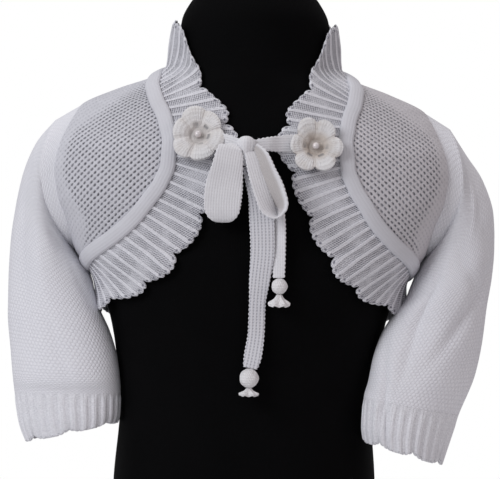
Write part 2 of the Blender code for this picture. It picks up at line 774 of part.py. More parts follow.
torso_form()
front("front_right", 1)
front("front_left", -1)
back()
for stretch_name, stretch_of, rib_count, frill_rows, band_steps in edge_stretches():
    band("band_" + stretch_name, stretch_of, band_steps)
    frill("frill_" + stretch_name, stretch_of, rib_count, frill_rows)
for side_name, side_sign, rings, troughs in (
        ("right", 1, RIGHT_SLEEVE, RIGHT_FOLDS), ("left", -1, LEFT_SLEEVE, LEFT_FOLDS)):
    arm_shape = Sleeve(side_sign, rings, troughs)
    sleeve("sleeve_" + side_name, arm_shape)
    cuff("cuff_" + side_name, arm_shape, len(rings))
for side_name, flower_place in FLOWER_PLACES.items():
    bloom_middle, bloom_out = flower("flower_" + side_name, flower_place)
    pearl("pearl_" + side_name, bloom_middle, bloom_out)
for tie_name, tie_route in TIE_ROUTES.items():
    tie(tie_name, tie_route)
knot()
for bobble_name, bobble_sizes in BOBBLES.items():
    bobble(bobble_name, *bobble_sizes)
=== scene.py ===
import bmesh
import bpy
import numpy as np
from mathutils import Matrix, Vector
from numpy import clip, cos, pi, radians, sin


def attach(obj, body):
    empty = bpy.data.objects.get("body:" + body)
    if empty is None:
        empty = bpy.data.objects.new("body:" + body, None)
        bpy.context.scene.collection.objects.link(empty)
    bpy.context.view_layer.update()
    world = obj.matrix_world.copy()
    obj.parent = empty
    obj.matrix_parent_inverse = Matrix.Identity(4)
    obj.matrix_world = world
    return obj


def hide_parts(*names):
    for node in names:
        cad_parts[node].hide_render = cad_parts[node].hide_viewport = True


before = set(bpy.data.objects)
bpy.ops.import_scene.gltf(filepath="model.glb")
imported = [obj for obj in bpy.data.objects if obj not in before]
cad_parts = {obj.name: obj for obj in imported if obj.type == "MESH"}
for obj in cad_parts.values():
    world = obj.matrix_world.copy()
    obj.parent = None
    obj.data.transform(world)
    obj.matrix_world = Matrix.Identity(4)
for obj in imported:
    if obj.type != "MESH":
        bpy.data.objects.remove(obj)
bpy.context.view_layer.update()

MM = 0.001

# The room: a small pale floor under the form and nothing but white behind it.
# A large soft lamp stands at the front left and a weaker, slightly rosy one at the right.
# The camera is level with the garment's hem, far off, and leans a little to one side.
FLOOR_RADIUS = 0.42
FLOOR_WHITE = (0.86, 0.86, 0.87, 1)
CAMERA_TARGET = Vector((0, -0.035, 0.222))
CAMERA_DISTANCE = 2.2
CAMERA_LENS = 214
CAMERA_LEAN = 1.4
ROOM_LIGHT = ((1.0, 0.98, 1.0, 1), 0.35)
ROOM_BEHIND = ((1, 1, 1, 1), 1.0)
LAMPS = {
    # name: (place, width, watts, colour)
    "window_left": ((-1.15, -1.1, 1.0), 0.8, 15.0, (0.95, 0.96, 1.0)),
    "window_right": ((1.9, -1.3, 0.9), 1.2, 5, (1.0, 0.78, 0.78)),
    "lamp_above": ((0.2, 0.3, 2.0), 1.2, 9, (1.0, 1.0, 1.0)),
}

scene = bpy.context.scene
scene.view_settings.view_transform = "Standard"
scene.view_settings.look = "None"

room = bpy.data.worlds.new("room")
room.use_nodes = True
room_nodes, join = room.node_tree.nodes, room.node_tree.links.new
around, behind = room_nodes["Background"], room_nodes.new("ShaderNodeBackground")
for glow_node, colour, strength in ((around, *ROOM_LIGHT), (behind, *ROOM_BEHIND)):
    glow_node.inputs["Color"].default_value = colour
    glow_node.inputs["Strength"].default_value = strength
either = room_nodes.new("ShaderNodeMixShader")
join(room_nodes.new("ShaderNodeLightPath").outputs["Is Camera Ray"], either.inputs["Fac"])
join(around.outputs[0], either.inputs[1])
join(behind.outputs[0], either.inputs[2])
join(either.outputs[0], room_nodes["World Output"].inputs["Surface"])
scene.world = room

for lamp_name, (lamp_place, lamp_width, lamp_watts, lamp_colour) in LAMPS.items():
    glow = bpy.data.lights.new(lamp_name, "AREA")
    glow.size = lamp_width
    glow.energy = lamp_watts
    glow.color = lamp_colour
    lamp = bpy.data.objects.new(lamp_name, glow)
    lamp.location = lamp_place
    lamp.rotation_euler = (CAMERA_TARGET - lamp.location).to_track_quat("-Z", "Y").to_euler()
    scene.collection.objects.link(lamp)

camera = bpy.data.objects.new("camera", bpy.data.cameras.new("camera"))
camera.data.lens = CAMERA_LENS
camera.data.sensor_width = 36
camera.location = CAMERA_TARGET + Vector((0, -CAMERA_DISTANCE, 0))
camera.rotation_euler = (radians(90), 0, 0)
camera.rotation_euler.rotate_axis("Z", radians(CAMERA_LEAN))
scene.collection.objects.link(camera)
scene.camera = camera

disc = bmesh.new()
bmesh.ops.create_circle(disc, cap_ends=True, segments=96, radius=FLOOR_RADIUS)
bmesh.ops.translate(disc, verts=disc.verts, vec=(0, 0, -0.0005))
floor = bpy.data.objects.new("floor", bpy.data.meshes.new("floor"))
disc.to_mesh(floor.data)
disc.free()
paper = bpy.data.materials.new("floor_paper")
paper.use_nodes = True
paper_look = paper.node_tree.nodes["Principled BSDF"].inputs
paper_look["Base Color"].default_value = FLOOR_WHITE
paper_look["Roughness"].default_value = 0.9
floor.data.materials.append(paper)
scene.collection.objects.link(floor)


# The limbless torso form that the garment stands on, from its flat base to the dome of its neck.
# The real one is foam under a tight cover of black jersey, sewn closed over the neck.
# It is laid on level sections: height, half width, half depth, centre's place in y, squareness, in mm.
FORM_SECTIONS = (
    (0, 99, 70, 0, 2.4),
    (42, 98, 72, 0, 2.4),
    (94, 94.5, 69, 0, 2.4),
    (140, 99, 71, -1, 2.4),
    (172, 106, 73, -2, 2.4),
    (190, 113, 73, -2, 2.5),
    (205, 123, 73, -2, 2.6),
    (216, 130, 72, -1, 2.7),
    (235, 139, 71, -1, 2.9),
    (253, 148, 69, -1, 3.0),
    (272, 152, 67, 0, 2.9),
    (285, 150, 65, 0, 2.7),
    (300, 144, 61, 1, 2.3),
    (318, 128, 55, 2, 1.95),
    (330, 102, 52, 3, 1.85),
    (341, 74, 50, 4, 1.85),
    (350, 62, 48, 5, 1.95),
    (365, 57, 47, 6, 2.0),
    (385, 55.5, 46, 6, 2.0),
    (401, 48, 40, 6, 2.0),
    (413, 35, 29, 6, 2.0),
    (421, 18, 15, 6, 2.0),
    (424, 0.4, 0.4, 6, 2.0),
)
FORM_TOP = 424
FORM_GIRTH = 620
FORM_BLACK = (0.0010, 0.0010, 0.0012, 1)
JERSEY_SHEEN = (0.0018, 0.0018, 0.0021, 1)
JERSEY_PITCH = 0.9


class Column:
    """One table column as a smooth curve that never overshoots its rows."""

    def __init__(self, stations, values):
        self.stations = np.array(stations, float)
        self.values = np.array(values, float)
        rises = np.diff(self.values) / np.diff(self.stations)
        slopes = [rises[0]]
        for before, after in zip(rises, rises[1:]):
            slopes.append(2 * before * after / (before + after) if before * after > 0 else 0.0)
        self.slopes = np.array(slopes + [rises[-1]])

    def __call__(self, at):
        row = clip(np.searchsorted(self.stations, at) - 1, 0, len(self.stations) - 2)
        step = self.stations[row + 1] - self.stations[row]
        s = clip((at - self.stations[row]) / step, 0, 1)
        start, end = self.values[row], self.values[row + 1]
        eased = start + (end - start) * s * s * (3 - 2 * s)
        return eased + step * s * (1 - s) * (self.slopes[row] * (1 - s) - self.slopes[row + 1] * s)


def columns_of(table, stations):
    """Every column of a table as a smooth curve over the given stations."""
    return [Column(stations, values) for values in zip(*table)]


def stations_of(places):
    """Distances along a line of rows that start with x, y and z."""
    steps = np.diff(np.array(places)[:, :3], axis=0)
    return np.concatenate(([0], np.cumsum(np.linalg.norm(steps, axis=1))))


def smooth(value):
    """Ease from 0 to 1."""
    s = clip(value, 0, 1)
    return s * s * (3 - 2 * s)


def blend(a, b, share):
    """The value a share of the way from a to b."""
    return a + (b - a) * share


def squared(sine, cosine, power):
    """Reach of a ring that is squarer than a circle where power is over 2."""
    return (np.abs(sine) ** power + np.abs(cosine) ** power) ** (-1 / power)


def place_of(x, y, z):
    """Points from their three coordinates."""
    return np.stack(np.broadcast_arrays(x, y, z), axis=-1).astype(float)


def dot(a, b):
    return (a * b).sum(axis=-1)


def unit(vectors):
    """Vectors made one unit long."""
    return vectors / np.maximum(np.linalg.norm(vectors, axis=-1, keepdims=True), 1e-12)


def times(vectors, amounts):
    """Each vector times its own amount."""
    return vectors * np.asarray(amounts)[..., None]


FORM_HALF_WIDTH, FORM_HALF_DEPTH, FORM_MIDDLE, FORM_SQUARENESS = columns_of(
    FORM_SECTIONS, [row[0] for row in FORM_SECTIONS])[1:]


def form_point(angle, height):
    """Points of the form's skin at angles from the front, in degrees, and heights."""
    sine, cosine = sin(radians(angle)), cos(radians(angle))
    reach = squared(sine, cosine, FORM_SQUARENESS(height))
    return place_of(
        FORM_HALF_WIDTH(height) * reach * sine,
        FORM_MIDDLE(height) - FORM_HALF_DEPTH(height) * reach * cosine,
        height,
    )


class Reading:
    """A number that varies over a surface; arithmetic on it adds Math nodes to its finish."""

    def __init__(self, finish, socket):
        self.finish = finish
        self.socket = socket

    def maths(self, operation, *numbers):
        return self.finish.node("Math", {"operation": operation}, numbers)

    def __add__(self, other):
        return self.maths("ADD", self, other)

    def __sub__(self, other):
        return self.maths("SUBTRACT", self, other)

    def __rsub__(self, other):
        return self.maths("SUBTRACT", other, self)

    def __mul__(self, other):
        return self.maths("MULTIPLY", self, other)

    def __truediv__(self, other):
        return self.maths("DIVIDE", self, other)

    def __pow__(self, other):
        return self.maths("POWER", self, other)

    __radd__ = __add__
    __rmul__ = __mul__

    def size(self):
        return self.maths("ABSOLUTE", self)

    def off_centre(self):
        """How far the number is from the middle between two whole numbers, from -0.5 to 0.5."""
        return self.maths("FRACT", self) - 0.5

    def fold(self, pitch=1):
        """The same for a number of pitches, without its sign."""
        return (self / pitch).off_centre().size()

    def lesser(self, other):
        return self.maths("MINIMUM", self, other)

    def greater(self, other):
        return self.maths("MAXIMUM", self, other)

    def wave(self):
        """Sine of the number in turns."""
        return self.maths("SINE", self * (2 * pi))

    def rise(self, low, high):
        """0 below low and 1 above high, with a smooth rise between them."""
        settings = {"interpolation_type": "SMOOTHSTEP"}
        return self.finish.node("MapRange", settings, (self, low, high))


class Finish:
    """What a surface looks like: a Principled BSDF and the nodes that vary it."""

    def __init__(self, name, roughness, **constants):
        self.material = bpy.data.materials.new(name)
        self.material.use_nodes = True
        self.tree = self.material.node_tree
        self.shader = self.tree.nodes["Principled BSDF"]
        self.show(Roughness=roughness, **constants)

    def node(self, kind, settings, values, output=0):
        """A node with its settings, then the values or links of its sockets, by place or by name."""
        made = self.tree.nodes.new("ShaderNode" + kind)
        for setting, value in settings.items():
            setattr(made, setting, value)
        for socket, value in values.items() if isinstance(values, dict) else enumerate(values):
            self.feed(made.inputs[socket], value)
        return Reading(self, made.outputs[output])

    def feed(self, socket, value):
        if isinstance(value, Reading):
            self.tree.links.new(value.socket, socket)
        else:
            socket.default_value = value

    def knit(self, layer="knit"):
        """The piece's own two measures across and along its cloth."""
        place = self.node("UVMap", {"uv_map": layer}, ())
        return tuple(self.node("SeparateXYZ", {}, (place,), axis) for axis in (0, 1))

    def attribute(self, name):
        return self.node("Attribute", {"attribute_name": name}, (), "Fac")

    def noise(self, scale, detail=2.0):
        """Noise in the piece's own space, from 0 to 1, with scale lumps for each metre."""
        spot = self.node("TexCoord", {}, (), "Object")
        return self.node("TexNoise", {}, {"Vector": spot, "Scale": scale, "Detail": detail})

    def mix(self, factor, first, second):
        return self.node("Mix", {"data_type": "RGBA"}, {0: factor, 6: first, 7: second}, 2)

    def show(self, **sockets):
        for socket, value in sockets.items():
            self.feed(self.shader.inputs[socket.replace("_", " ")], value)

    def relief(self, height, depth):
        """Raise the surface by height, a number from 0 to 1, times a depth in millimetres."""
        bump = self.node("Bump", {}, {"Strength": 1.0, "Distance": depth * MM, "Height": height})
        self.show(Normal=bump)


def laid(columns, rows, surface):
    """A grid laid on surface(u, v), which gives points, pushes outwards, knit measures and a mark."""
    cloth = bmesh.new()
    knit_layer = cloth.loops.layers.uv.new("knit")
    push_layer = cloth.verts.layers.float_vector.new("push")
    mark_layer = cloth.verts.layers.float.new("mark")
    bmesh.ops.create_grid(cloth, x_segments=columns, y_segments=rows, size=0.5)
    spots = np.array([vert.co for vert in cloth.verts])[:, :2] + 0.5
    points, pushes, knit, marks = surface(spots[:, 0], spots[:, 1])
    cloth.verts.index_update()
    knit = np.stack(knit, axis=-1)
    for face in cloth.faces:
        for loop in face.loops:
            loop[knit_layer].uv = knit[loop.vert.index]
    for vert, point, push, mark in zip(cloth.verts, points, pushes, np.broadcast_to(marks, len(points))):
        vert.co = point
        vert[push_layer] = push
        vert[mark_layer] = mark
    return cloth


def finished(name, cloth, finish):
    """The piece itself, in the row frame, standing for the node that it is named after."""
    bmesh.ops.recalc_face_normals(cloth, faces=cloth.faces)
    bmesh.ops.scale(cloth, vec=(MM, MM, MM), verts=cloth.verts)
    piece = bpy.data.objects.new(name + "_cloth", bpy.data.meshes.new(name + "_cloth"))
    cloth.to_mesh(piece.data)
    cloth.free()
    piece.data.shade_smooth()
    piece.data.set_sharp_from_angle(angle=radians(70))
    piece.data.materials.append(finish.material)
    scene.collection.objects.link(piece)
    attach(piece, "root")
    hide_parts(name)
    return piece


def walled(name, columns, rows, surface, finish, tube=False):
    """A piece of cloth with its thickness, from a laid grid and its pushed-out copy."""
    cloth = laid(columns, rows, surface)
    if tube:
        bmesh.ops.remove_doubles(cloth, verts=cloth.verts, dist=0.0005)
    push_layer = cloth.verts.layers.float_vector["push"]
    extruded = bmesh.ops.extrude_face_region(cloth, geom=cloth.faces[:])
    for item in extruded["geom"]:
        if isinstance(item, bmesh.types.BMVert):
            item.co += item[push_layer]
    return finished(name, cloth, finish)


def rounded(name, columns, rows, surface, finish):
    """A solid strip, cord or body: a laid tube, closed at both ends."""
    cloth = laid(columns, rows, surface)
    bmesh.ops.remove_doubles(cloth, verts=cloth.verts, dist=0.0005)
    bmesh.ops.holes_fill(cloth, edges=cloth.edges, sides=0)
    return finished(name, cloth, finish)


jersey = Finish("black_jersey", 0.75, Specular_IOR_Level=0.05)
jersey_across, jersey_along = jersey.knit()
jersey_rows = jersey_along.fold(JERSEY_PITCH) + jersey_across.fold(JERSEY_PITCH)
jersey.relief(jersey_rows + jersey.noise(900) * 0.6, 0.12)
jersey.show(Base_Color=jersey.mix(jersey.noise(35), FORM_BLACK, JERSEY_SHEEN))


def form_skin(u, v):
    height = FORM_TOP * (1 - (1 - v) ** 1.15)
    skin = form_point(u * 360, height)
    return skin, skin * 0, (u * FORM_GIRTH, height), 0


rounded("torso_form", 144, 150, form_skin, jersey)


# The two fronts and the back, each knitted in one piece in cotton and acrylic yarn, in an openwork of small
# slanted holes in staggered rows. The fronts are sewn to the back along the shoulders and short side seams.
# Their edges run under the smooth band and into the armholes.
SEAM = 0.1
HEM_HEIGHT = 190
BAND_WIDTH = 9.5
CLEARANCE = 0.9
PANEL_WALL = 1.5
PANEL_EASE = 1.95
# The right half of the inner edge: band angle and height, frill edge angle and height, edge lift.
INNER_EDGE = (
    (180, 351, 180, 388, 4.0),
    (150, 350.3, 150, 387, 4.0),
    (118, 347.5, 120, 384, 4.0),
    (90, 343, 88, 380, 3.5),
    (68, 338, 66, 376, 3.0),
    (47, 329, 49, 355, 2.5),
    (34, 318, 20, 328, 2.2),
    (27.5, 305, 9.5, 311, 2.0),
    (24.3, 289, 7, 288, 2.0),
    (24, 275, 10.5, 264, 2.0),
    (26, 261, 14, 245, 2.0),
    (31, 245, 19, 225, 2.2),
    (37, 232, 26, 206, 2.5),
    (46, 220, 34, 194, 2.8),
    (58, 211, 43.5, 184, 3.0),
    (74, 204, 64, 175, 5.0),
    (90, 200, 87, 169, 9.5),
    (118, 198, 118, 167.5, 7.5),
    (150, 196.5, 150, 161.5, 6.5),
    (180, 196, 180, 158, 6.5),
)
RIDGE_ROW = 3
SIDE_ROW = 16
OPENING_SHIFT = 1.6
ARMHOLE_MIDDLE = 264.5
ARMHOLE_HALF_HEIGHT = 53.5
ARMHOLE_REACH = 29
FRONT_CROWDING = 1.15
UNDER_BAND = BAND_WIDTH / 2 - 0.2
BACK_ROWS = 14
SHOULDER_ROWS = 3
HOLE_PITCH = 5.3
HOLE_ROWS = 2.3
HOLE_LENGTH = 1.0
HOLE_WIDTH = 0.58
HOLE_SLANT = 48
LEFT_WHITE = (0.71, 0.71, 0.76, 1)
# The right white is the left white made darker and rosier: painted shade on the garment's right side, tinted
# like the rosy right lamp.
RIGHT_WHITE_PAINTED_SHADE = (0.695, 0.67, 0.70, 1)
KNIT_SHADE = (0.44, 0.44, 0.50, 1)


def form_axes(angle, height):
    """The skin's change per degree round, its change per millimetre up, and its outward normal."""
    around = form_point(angle + 0.5, height) - form_point(angle - 0.5, height)
    upward = form_point(angle, height + 0.5) - form_point(angle, height - 0.5)
    return around, upward, unit(np.cross(around, upward))


def raised(angle, height, lift):
    """Points at a distance over the form's skin."""
    return form_point(angle, height) + times(form_axes(angle, height)[2], lift)


def slide(angle, height, direction, distance):
    """Angle and height at a distance over the skin, in a given direction."""
    around, upward, _ = form_axes(angle, height)
    aa, au, uu = dot(around, around), dot(around, upward), dot(upward, upward)
    a_way, u_way = dot(around, direction) * distance, dot(upward, direction) * distance
    area = aa * uu - au * au
    return angle + (uu * a_way - au * u_way) / area, height + (aa * u_way - au * a_way) / area


band_middles = [(form_point(*row[:2]) + form_point(*row[2:4])) / 2 for row in INNER_EDGE]
EDGE_STATIONS = stations_of(band_middles)
BAND_ANGLE, BAND_HEIGHT, FRILL_ANGLE, FRILL_HEIGHT, FRILL_LIFT = columns_of(INNER_EDGE, EDGE_STATIONS)
RIDGE_STATION = EDGE_STATIONS[RIDGE_ROW]
SIDE_STATION = EDGE_STATIONS[SIDE_ROW]
LAST_STATION = EDGE_STATIONS[-1]


def mirrored(angle, side):
    """Angle on the right or left half, with side 1 or -1."""
    return np.where(side > 0, angle, 360 - angle)


def shift_at(station):
    """How far the front opening stands off the middle, in degrees, at a station."""
    share = clip((station - RIDGE_STATION) / (SIDE_STATION - RIDGE_STATION), 0, 1)
    return OPENING_SHIFT * sin(pi * share)


def band_place(station, side):
    return mirrored(BAND_ANGLE(station) + side * shift_at(station), side), BAND_HEIGHT(station)


def band_frame(station, side):
    """Point of the band's middle line on the skin, outward normal and way to the panels."""
    station, side = np.broadcast_arrays(np.asarray(station, float), side)
    first, last = station < 1, station > LAST_STATION - 1
    before = form_point(*band_place(np.where(first, 1, station - 1), np.where(first, -side, side)))
    after = form_point(*band_place(
        np.where(last, LAST_STATION - 1, station + 1), np.where(last, -side, side)))
    along = times(unit(after - before), side)
    here = band_place(station, side)
    normal = form_axes(*here)[2]
    return form_point(*here), normal, unit(np.cross(normal, along))


def beside_band(station, side, distance):
    """Angle and height beside the band, towards the panels where distance is positive."""
    return slide(*band_place(station, side), band_frame(station, side)[2], distance)


def over_back(share, end, middle):
    """Station and side along an edge of the back: from end on the right over middle to end on the left."""
    return blend(end, middle, 1 - np.abs(2 * share - 1)), np.where(share < 0.5, 1, -1)


def armhole_place(around, side, gap=0.0):
    """Angle and height on the armhole seam: around is 0 on top, 90 in front, 180 below and 270 behind."""
    sine = sin(radians(around))
    reach = (ARMHOLE_REACH * np.abs(sine) ** 0.9 + gap) * np.where(sine >= 0, 1, -1)
    return mirrored(90 - reach, side), ARMHOLE_MIDDLE + ARMHOLE_HALF_HEIGHT * cos(radians(around))


def measured(angle, height, middle):
    """Millimetres round from a middle angle, and up from the hem, over the skin."""
    steps = np.linspace(0, 1, 25)[:, None]
    round_it = form_point(middle + (angle - middle) * steps, height + 0 * steps)
    upward = form_point(angle + 0 * steps, blend(HEM_HEIGHT, height, steps))
    lengths = [np.linalg.norm(np.diff(line, axis=0), axis=-1).sum(axis=0) for line in (round_it, upward)]
    return lengths[0] * np.sign(angle - middle), lengths[1]


def panel(place, middle, fade):
    """Surface of a front or back from a function that gives angle and height."""
    def surface(u, v):
        angle, height = place(u, v)
        ease = PANEL_EASE * np.sqrt(clip(sin(pi * u) * sin(pi * v), 0, 1))
        normal = form_axes(angle, height)[2]
        inner = form_point(angle, height) + times(normal, CLEARANCE + ease)
        return inner, normal * PANEL_WALL, measured(angle, height, middle), fade(u, v)
    return surface


def openwork(name, slant, white):
    """White knit with small slanted holes in staggered rows; the black form shows through them."""
    cloth = Finish(name, 0.88)
    across, along = cloth.knit()
    across = across + (cloth.noise(140) - 0.5) * 1.3
    along = along + (cloth.noise(190) - 0.5) * 0.9
    slope, lean = sin(radians(slant)), cos(radians(slant))
    near = None
    for start in (0, 0.5):
        x = (across / HOLE_PITCH + start).off_centre() * HOLE_PITCH
        y = (along / (2 * HOLE_ROWS) + start).off_centre() * (2 * HOLE_ROWS)
        long_way = (x * lean + y * slope) / HOLE_LENGTH
        short_way = (y * lean - x * slope) / HOLE_WIDTH
        far = (long_way * long_way + short_way * short_way) ** 0.5
        near = far if near is None else near.lesser(far)
    openness = cloth.attribute("mark")
    yarn = 1 - (1 - near.rise(0.75, 2.0)) * (openness * 0.85 + 0.15)
    tight = cloth.noise(420).rise(0.32, 0.6) * 0.5 + 0.5
    hole = (1 - near.rise(0.6, 1.15)) * openness * tight
    shade = (1 - near.rise(0.9, 1.7)) * (openness * 0.85 + 0.15)
    strand_lines = (along / 0.75 + across / 9).wave() * 0.12
    cloth.relief(yarn + strand_lines + cloth.noise(1600) * 0.35, 0.9)
    darker = (*[0.93 * part for part in white[:3]], 1)
    patched = cloth.mix(cloth.noise(60).rise(0.35, 0.7) * 0.5, white, darker)
    cloth.show(Base_Color=cloth.mix(shade * 0.8, patched, KNIT_SHADE), Alpha=1 - hole * 0.92)
    return cloth


def front_surface(side):
    def place(u, v):
        along = v ** FRONT_CROWDING
        station = blend(RIDGE_STATION + SEAM / 2, SIDE_STATION - SEAM / 2, along)
        near = beside_band(station, side, UNDER_BAND)
        far = armhole_place(180 * along, side, SEAM)
        return blend(near[0], far[0], u), blend(near[1], far[1], u)

    def fade(u, v):
        plain = 0.2 + 0.6 * smooth((v - 0.52) / 0.36)
        by_armhole = smooth((1.07 - u - plain) / 0.1)
        by_shoulder = smooth((v - 0.07 - 0.3 * u) / 0.1)
        by_corner = smooth((0.85 - v) / 0.06)
        return (0.12 + 0.88 * by_armhole * by_shoulder) * by_corner

    return panel(place, 0 if side > 0 else 360, fade)


def back_place(u, v):
    neck_end, hem_end = RIDGE_STATION - SEAM / 2, SIDE_STATION + SEAM / 2

    def edge(share, end, middle):
        return np.array(beside_band(*over_back(share, end, middle), UNDER_BAND))

    def flank(share, side):
        row = share * BACK_ROWS
        armhole_rows = BACK_ROWS - 1 - SHOULDER_ROWS
        low, high = [
            np.array(beside_band(end, side, UNDER_BAND)).reshape(2, 1) for end in (hem_end, neck_end)]
        around = 180 + 180 * clip((row - 1) / armhole_rows, 0, 1)
        angle, height = armhole_place(around, side, SEAM)
        angle = np.where((around <= 180) | (around >= 360), mirrored(90 + SEAM, side), angle)
        start, climb = clip(row, 0, 1), clip((row - 1 - armhole_rows) / SHOULDER_ROWS, 0, 1)
        return blend(blend(low, np.array((angle, height)), start), high, climb)

    lower, upper = edge(u, hem_end, LAST_STATION), edge(u, neck_end, 0)
    ends = np.array([0.0, 1.0])
    lower_ends, upper_ends = edge(ends, hem_end, LAST_STATION), edge(ends, neck_end, 0)
    sides = blend(lower, upper, v) + blend(flank(v, 1), flank(v, -1), u)
    below, above = [blend(pair[:, :1], pair[:, 1:], u) for pair in (lower_ends, upper_ends)]
    return sides - blend(below, above, v)


# The right front and the back take the right white, with its painted shade; the left front keeps the plain
# white.
knit_right_painted_shade = openwork("openwork_right_painted_shade", -HOLE_SLANT, RIGHT_WHITE_PAINTED_SHADE)
knit_left = openwork("openwork_left", HOLE_SLANT, LEFT_WHITE)
front_right = walled("front_right", 120, 170, front_surface(1), knit_right_painted_shade)
front_left = walled("front_left", 120, 170, front_surface(-1), knit_left)
back = walled("back", 230, 140, panel(back_place, 180, lambda u, v: 0.75 + 0 * u), knit_right_painted_shade)


# The sleeves, each a tapered tube of soft tuck knit set into its armhole, with no holes.
# The cuffs are knitted on to them in a two by two rib and end in a scalloped edge.
# Rows of the tables: outer x and z, inner x and z, half depth, y, turn and bulge, from shoulder to edge.
LEFT_SLEEVE = (
    (147.5, 308.5, 133.5, 210, 36, 0, 0, 15),
    (161, 292, 127, 202, 37, -1, 2, 12),
    (170.5, 269, 122.5, 196, 36, -3, 5, 8),
    (176, 242, 117, 188, 35, -6, 9, 4),
    (179, 217, 113.5, 178, 33, -9, 12, 2),
    (180, 190, 108.8, 166, 31, -12, 15, 0),
    (180, 164, 101.5, 151, 30, -14, 17, 0),
    (177.5, 138, 96, 132, 29, -15, 18, 0),
    (175, 115, 93.8, 115, 28, -16, 18, 0),
    (173.5, 104, 93.3, 106, 26, -16, 18, 0),
    (169, 80, 93.5, 92, 26, -16, 18, 0),
    (163.5, 67, 95, 84, 27, -16, 18, 0),
)
RIGHT_SLEEVE = (
    (147, 309, 134, 210, 36, 0, 0, 15),
    (160, 290, 127.5, 203, 37, -1, 2, 12),
    (173, 271, 125, 197, 36, -4, 5, 8),
    (181.5, 246, 121, 188, 35, -8, 10, 4),
    (183, 222, 116.5, 178, 33, -13, 15, 2),
    (181.5, 200, 107.5, 167, 31, -18, 20, 0),
    (178, 176, 98.8, 153, 30, -22, 23, 0),
    (175, 150, 92.8, 136, 29, -28, 27, 0),
    (170, 126, 89.5, 119, 28, -33, 28, 0),
    (158, 96, 86.5, 108, 26, -39, 29, 0),
    (150, 72, 85.5, 88, 26, -42, 29, 0),
    (145.5, 59, 87, 76, 27, -43, 29, 0),
)
CUFF_ROW = 9
# Troughs, or ridges where the depth is negative: place around the sleeve (0 outer, 90 front, 180 inner),
# row of the table, spread around in degrees, spread along in rows, depth, and drift in degrees for each row.
# The first four are the large folds of the sleeve, and the others are creases of the cloth alone.
LEFT_CREASES = (
    (62, 4.6, 24, 2.6, 3.5, 0),
    (118, 3.6, 22, 1.8, 3.0, 0),
    (205, 5.5, 26, 2.2, 3.0, 0),
    (285, 4.2, 26, 2.4, 3.0, 0),
    (60, 5.4, 7, 2.2, 1.5, 4),
    (84, 5.0, 9, 1.8, -1.0, 5),
    (112, 3.1, 14, 1.2, 0.8, 8),
    (140, 4.6, 8, 1.5, 1.1, 10),
    (46, 7.6, 8, 1.4, 1.0, -6),
    (98, 7.8, 8, 1.3, 0.9, 6),
    (240, 3.6, 9, 1.4, 1.4, -14),
    (300, 5.6, 8, 1.8, 1.2, 8),
    (268, 7.2, 9, 1.4, -0.9, 6),
)
RIGHT_CREASES = (
    (95, 4.4, 24, 1.6, 3.5, 0),
    (130, 7.0, 20, 2.6, 4.0, 0),
    (55, 3.0, 24, 1.6, 3.0, 0),
    (250, 5.0, 28, 2.2, 3.0, 0),
    (132, 6.9, 7, 2.6, 2.0, 3),
    (153, 9.6, 6, 1.8, 3.0, -6),
    (70, 5.8, 8, 1.4, 1.5, -16),
    (58, 2.6, 7, 0.9, -1.2, 16),
    (65, 6.8, 12, 1.4, 3.4, 24),
    (46, 4.6, 9, 1.3, 1.1, -10),
    (240, 3.8, 9, 1.5, 1.4, 12),
    (286, 6.2, 8, 1.6, 1.2, -8),
    (318, 4.4, 9, 1.4, -0.8, 6),
)
TUCK_PITCH = 2.85
TUCK_ROWS = 2.5
TUCKS_ROUND = 72
SLEEVE_LENGTH = 225
CUFF_LENGTH = 34
CUFF_RIBS = 28
CUFF_SCALLOP = 0.34
CUFF_PICOT = 0.07
CUFF_RIB_HEIGHT = 0.9
RIBS_IN_A_SCALLOP = 4
RIB_PITCH = 5.3
RIB_WALL = 1.1
PICOTS_TO_A_RIB = 1.5
TUCK_WHITE = (0.83, 0.83, 0.87, 1)
TUCK_PATCH = (0.78, 0.78, 0.83, 1)
CUFF_WHITE = (0.85, 0.85, 0.89, 1)
RIB_SHADE = (0.20, 0.20, 0.24, 1)


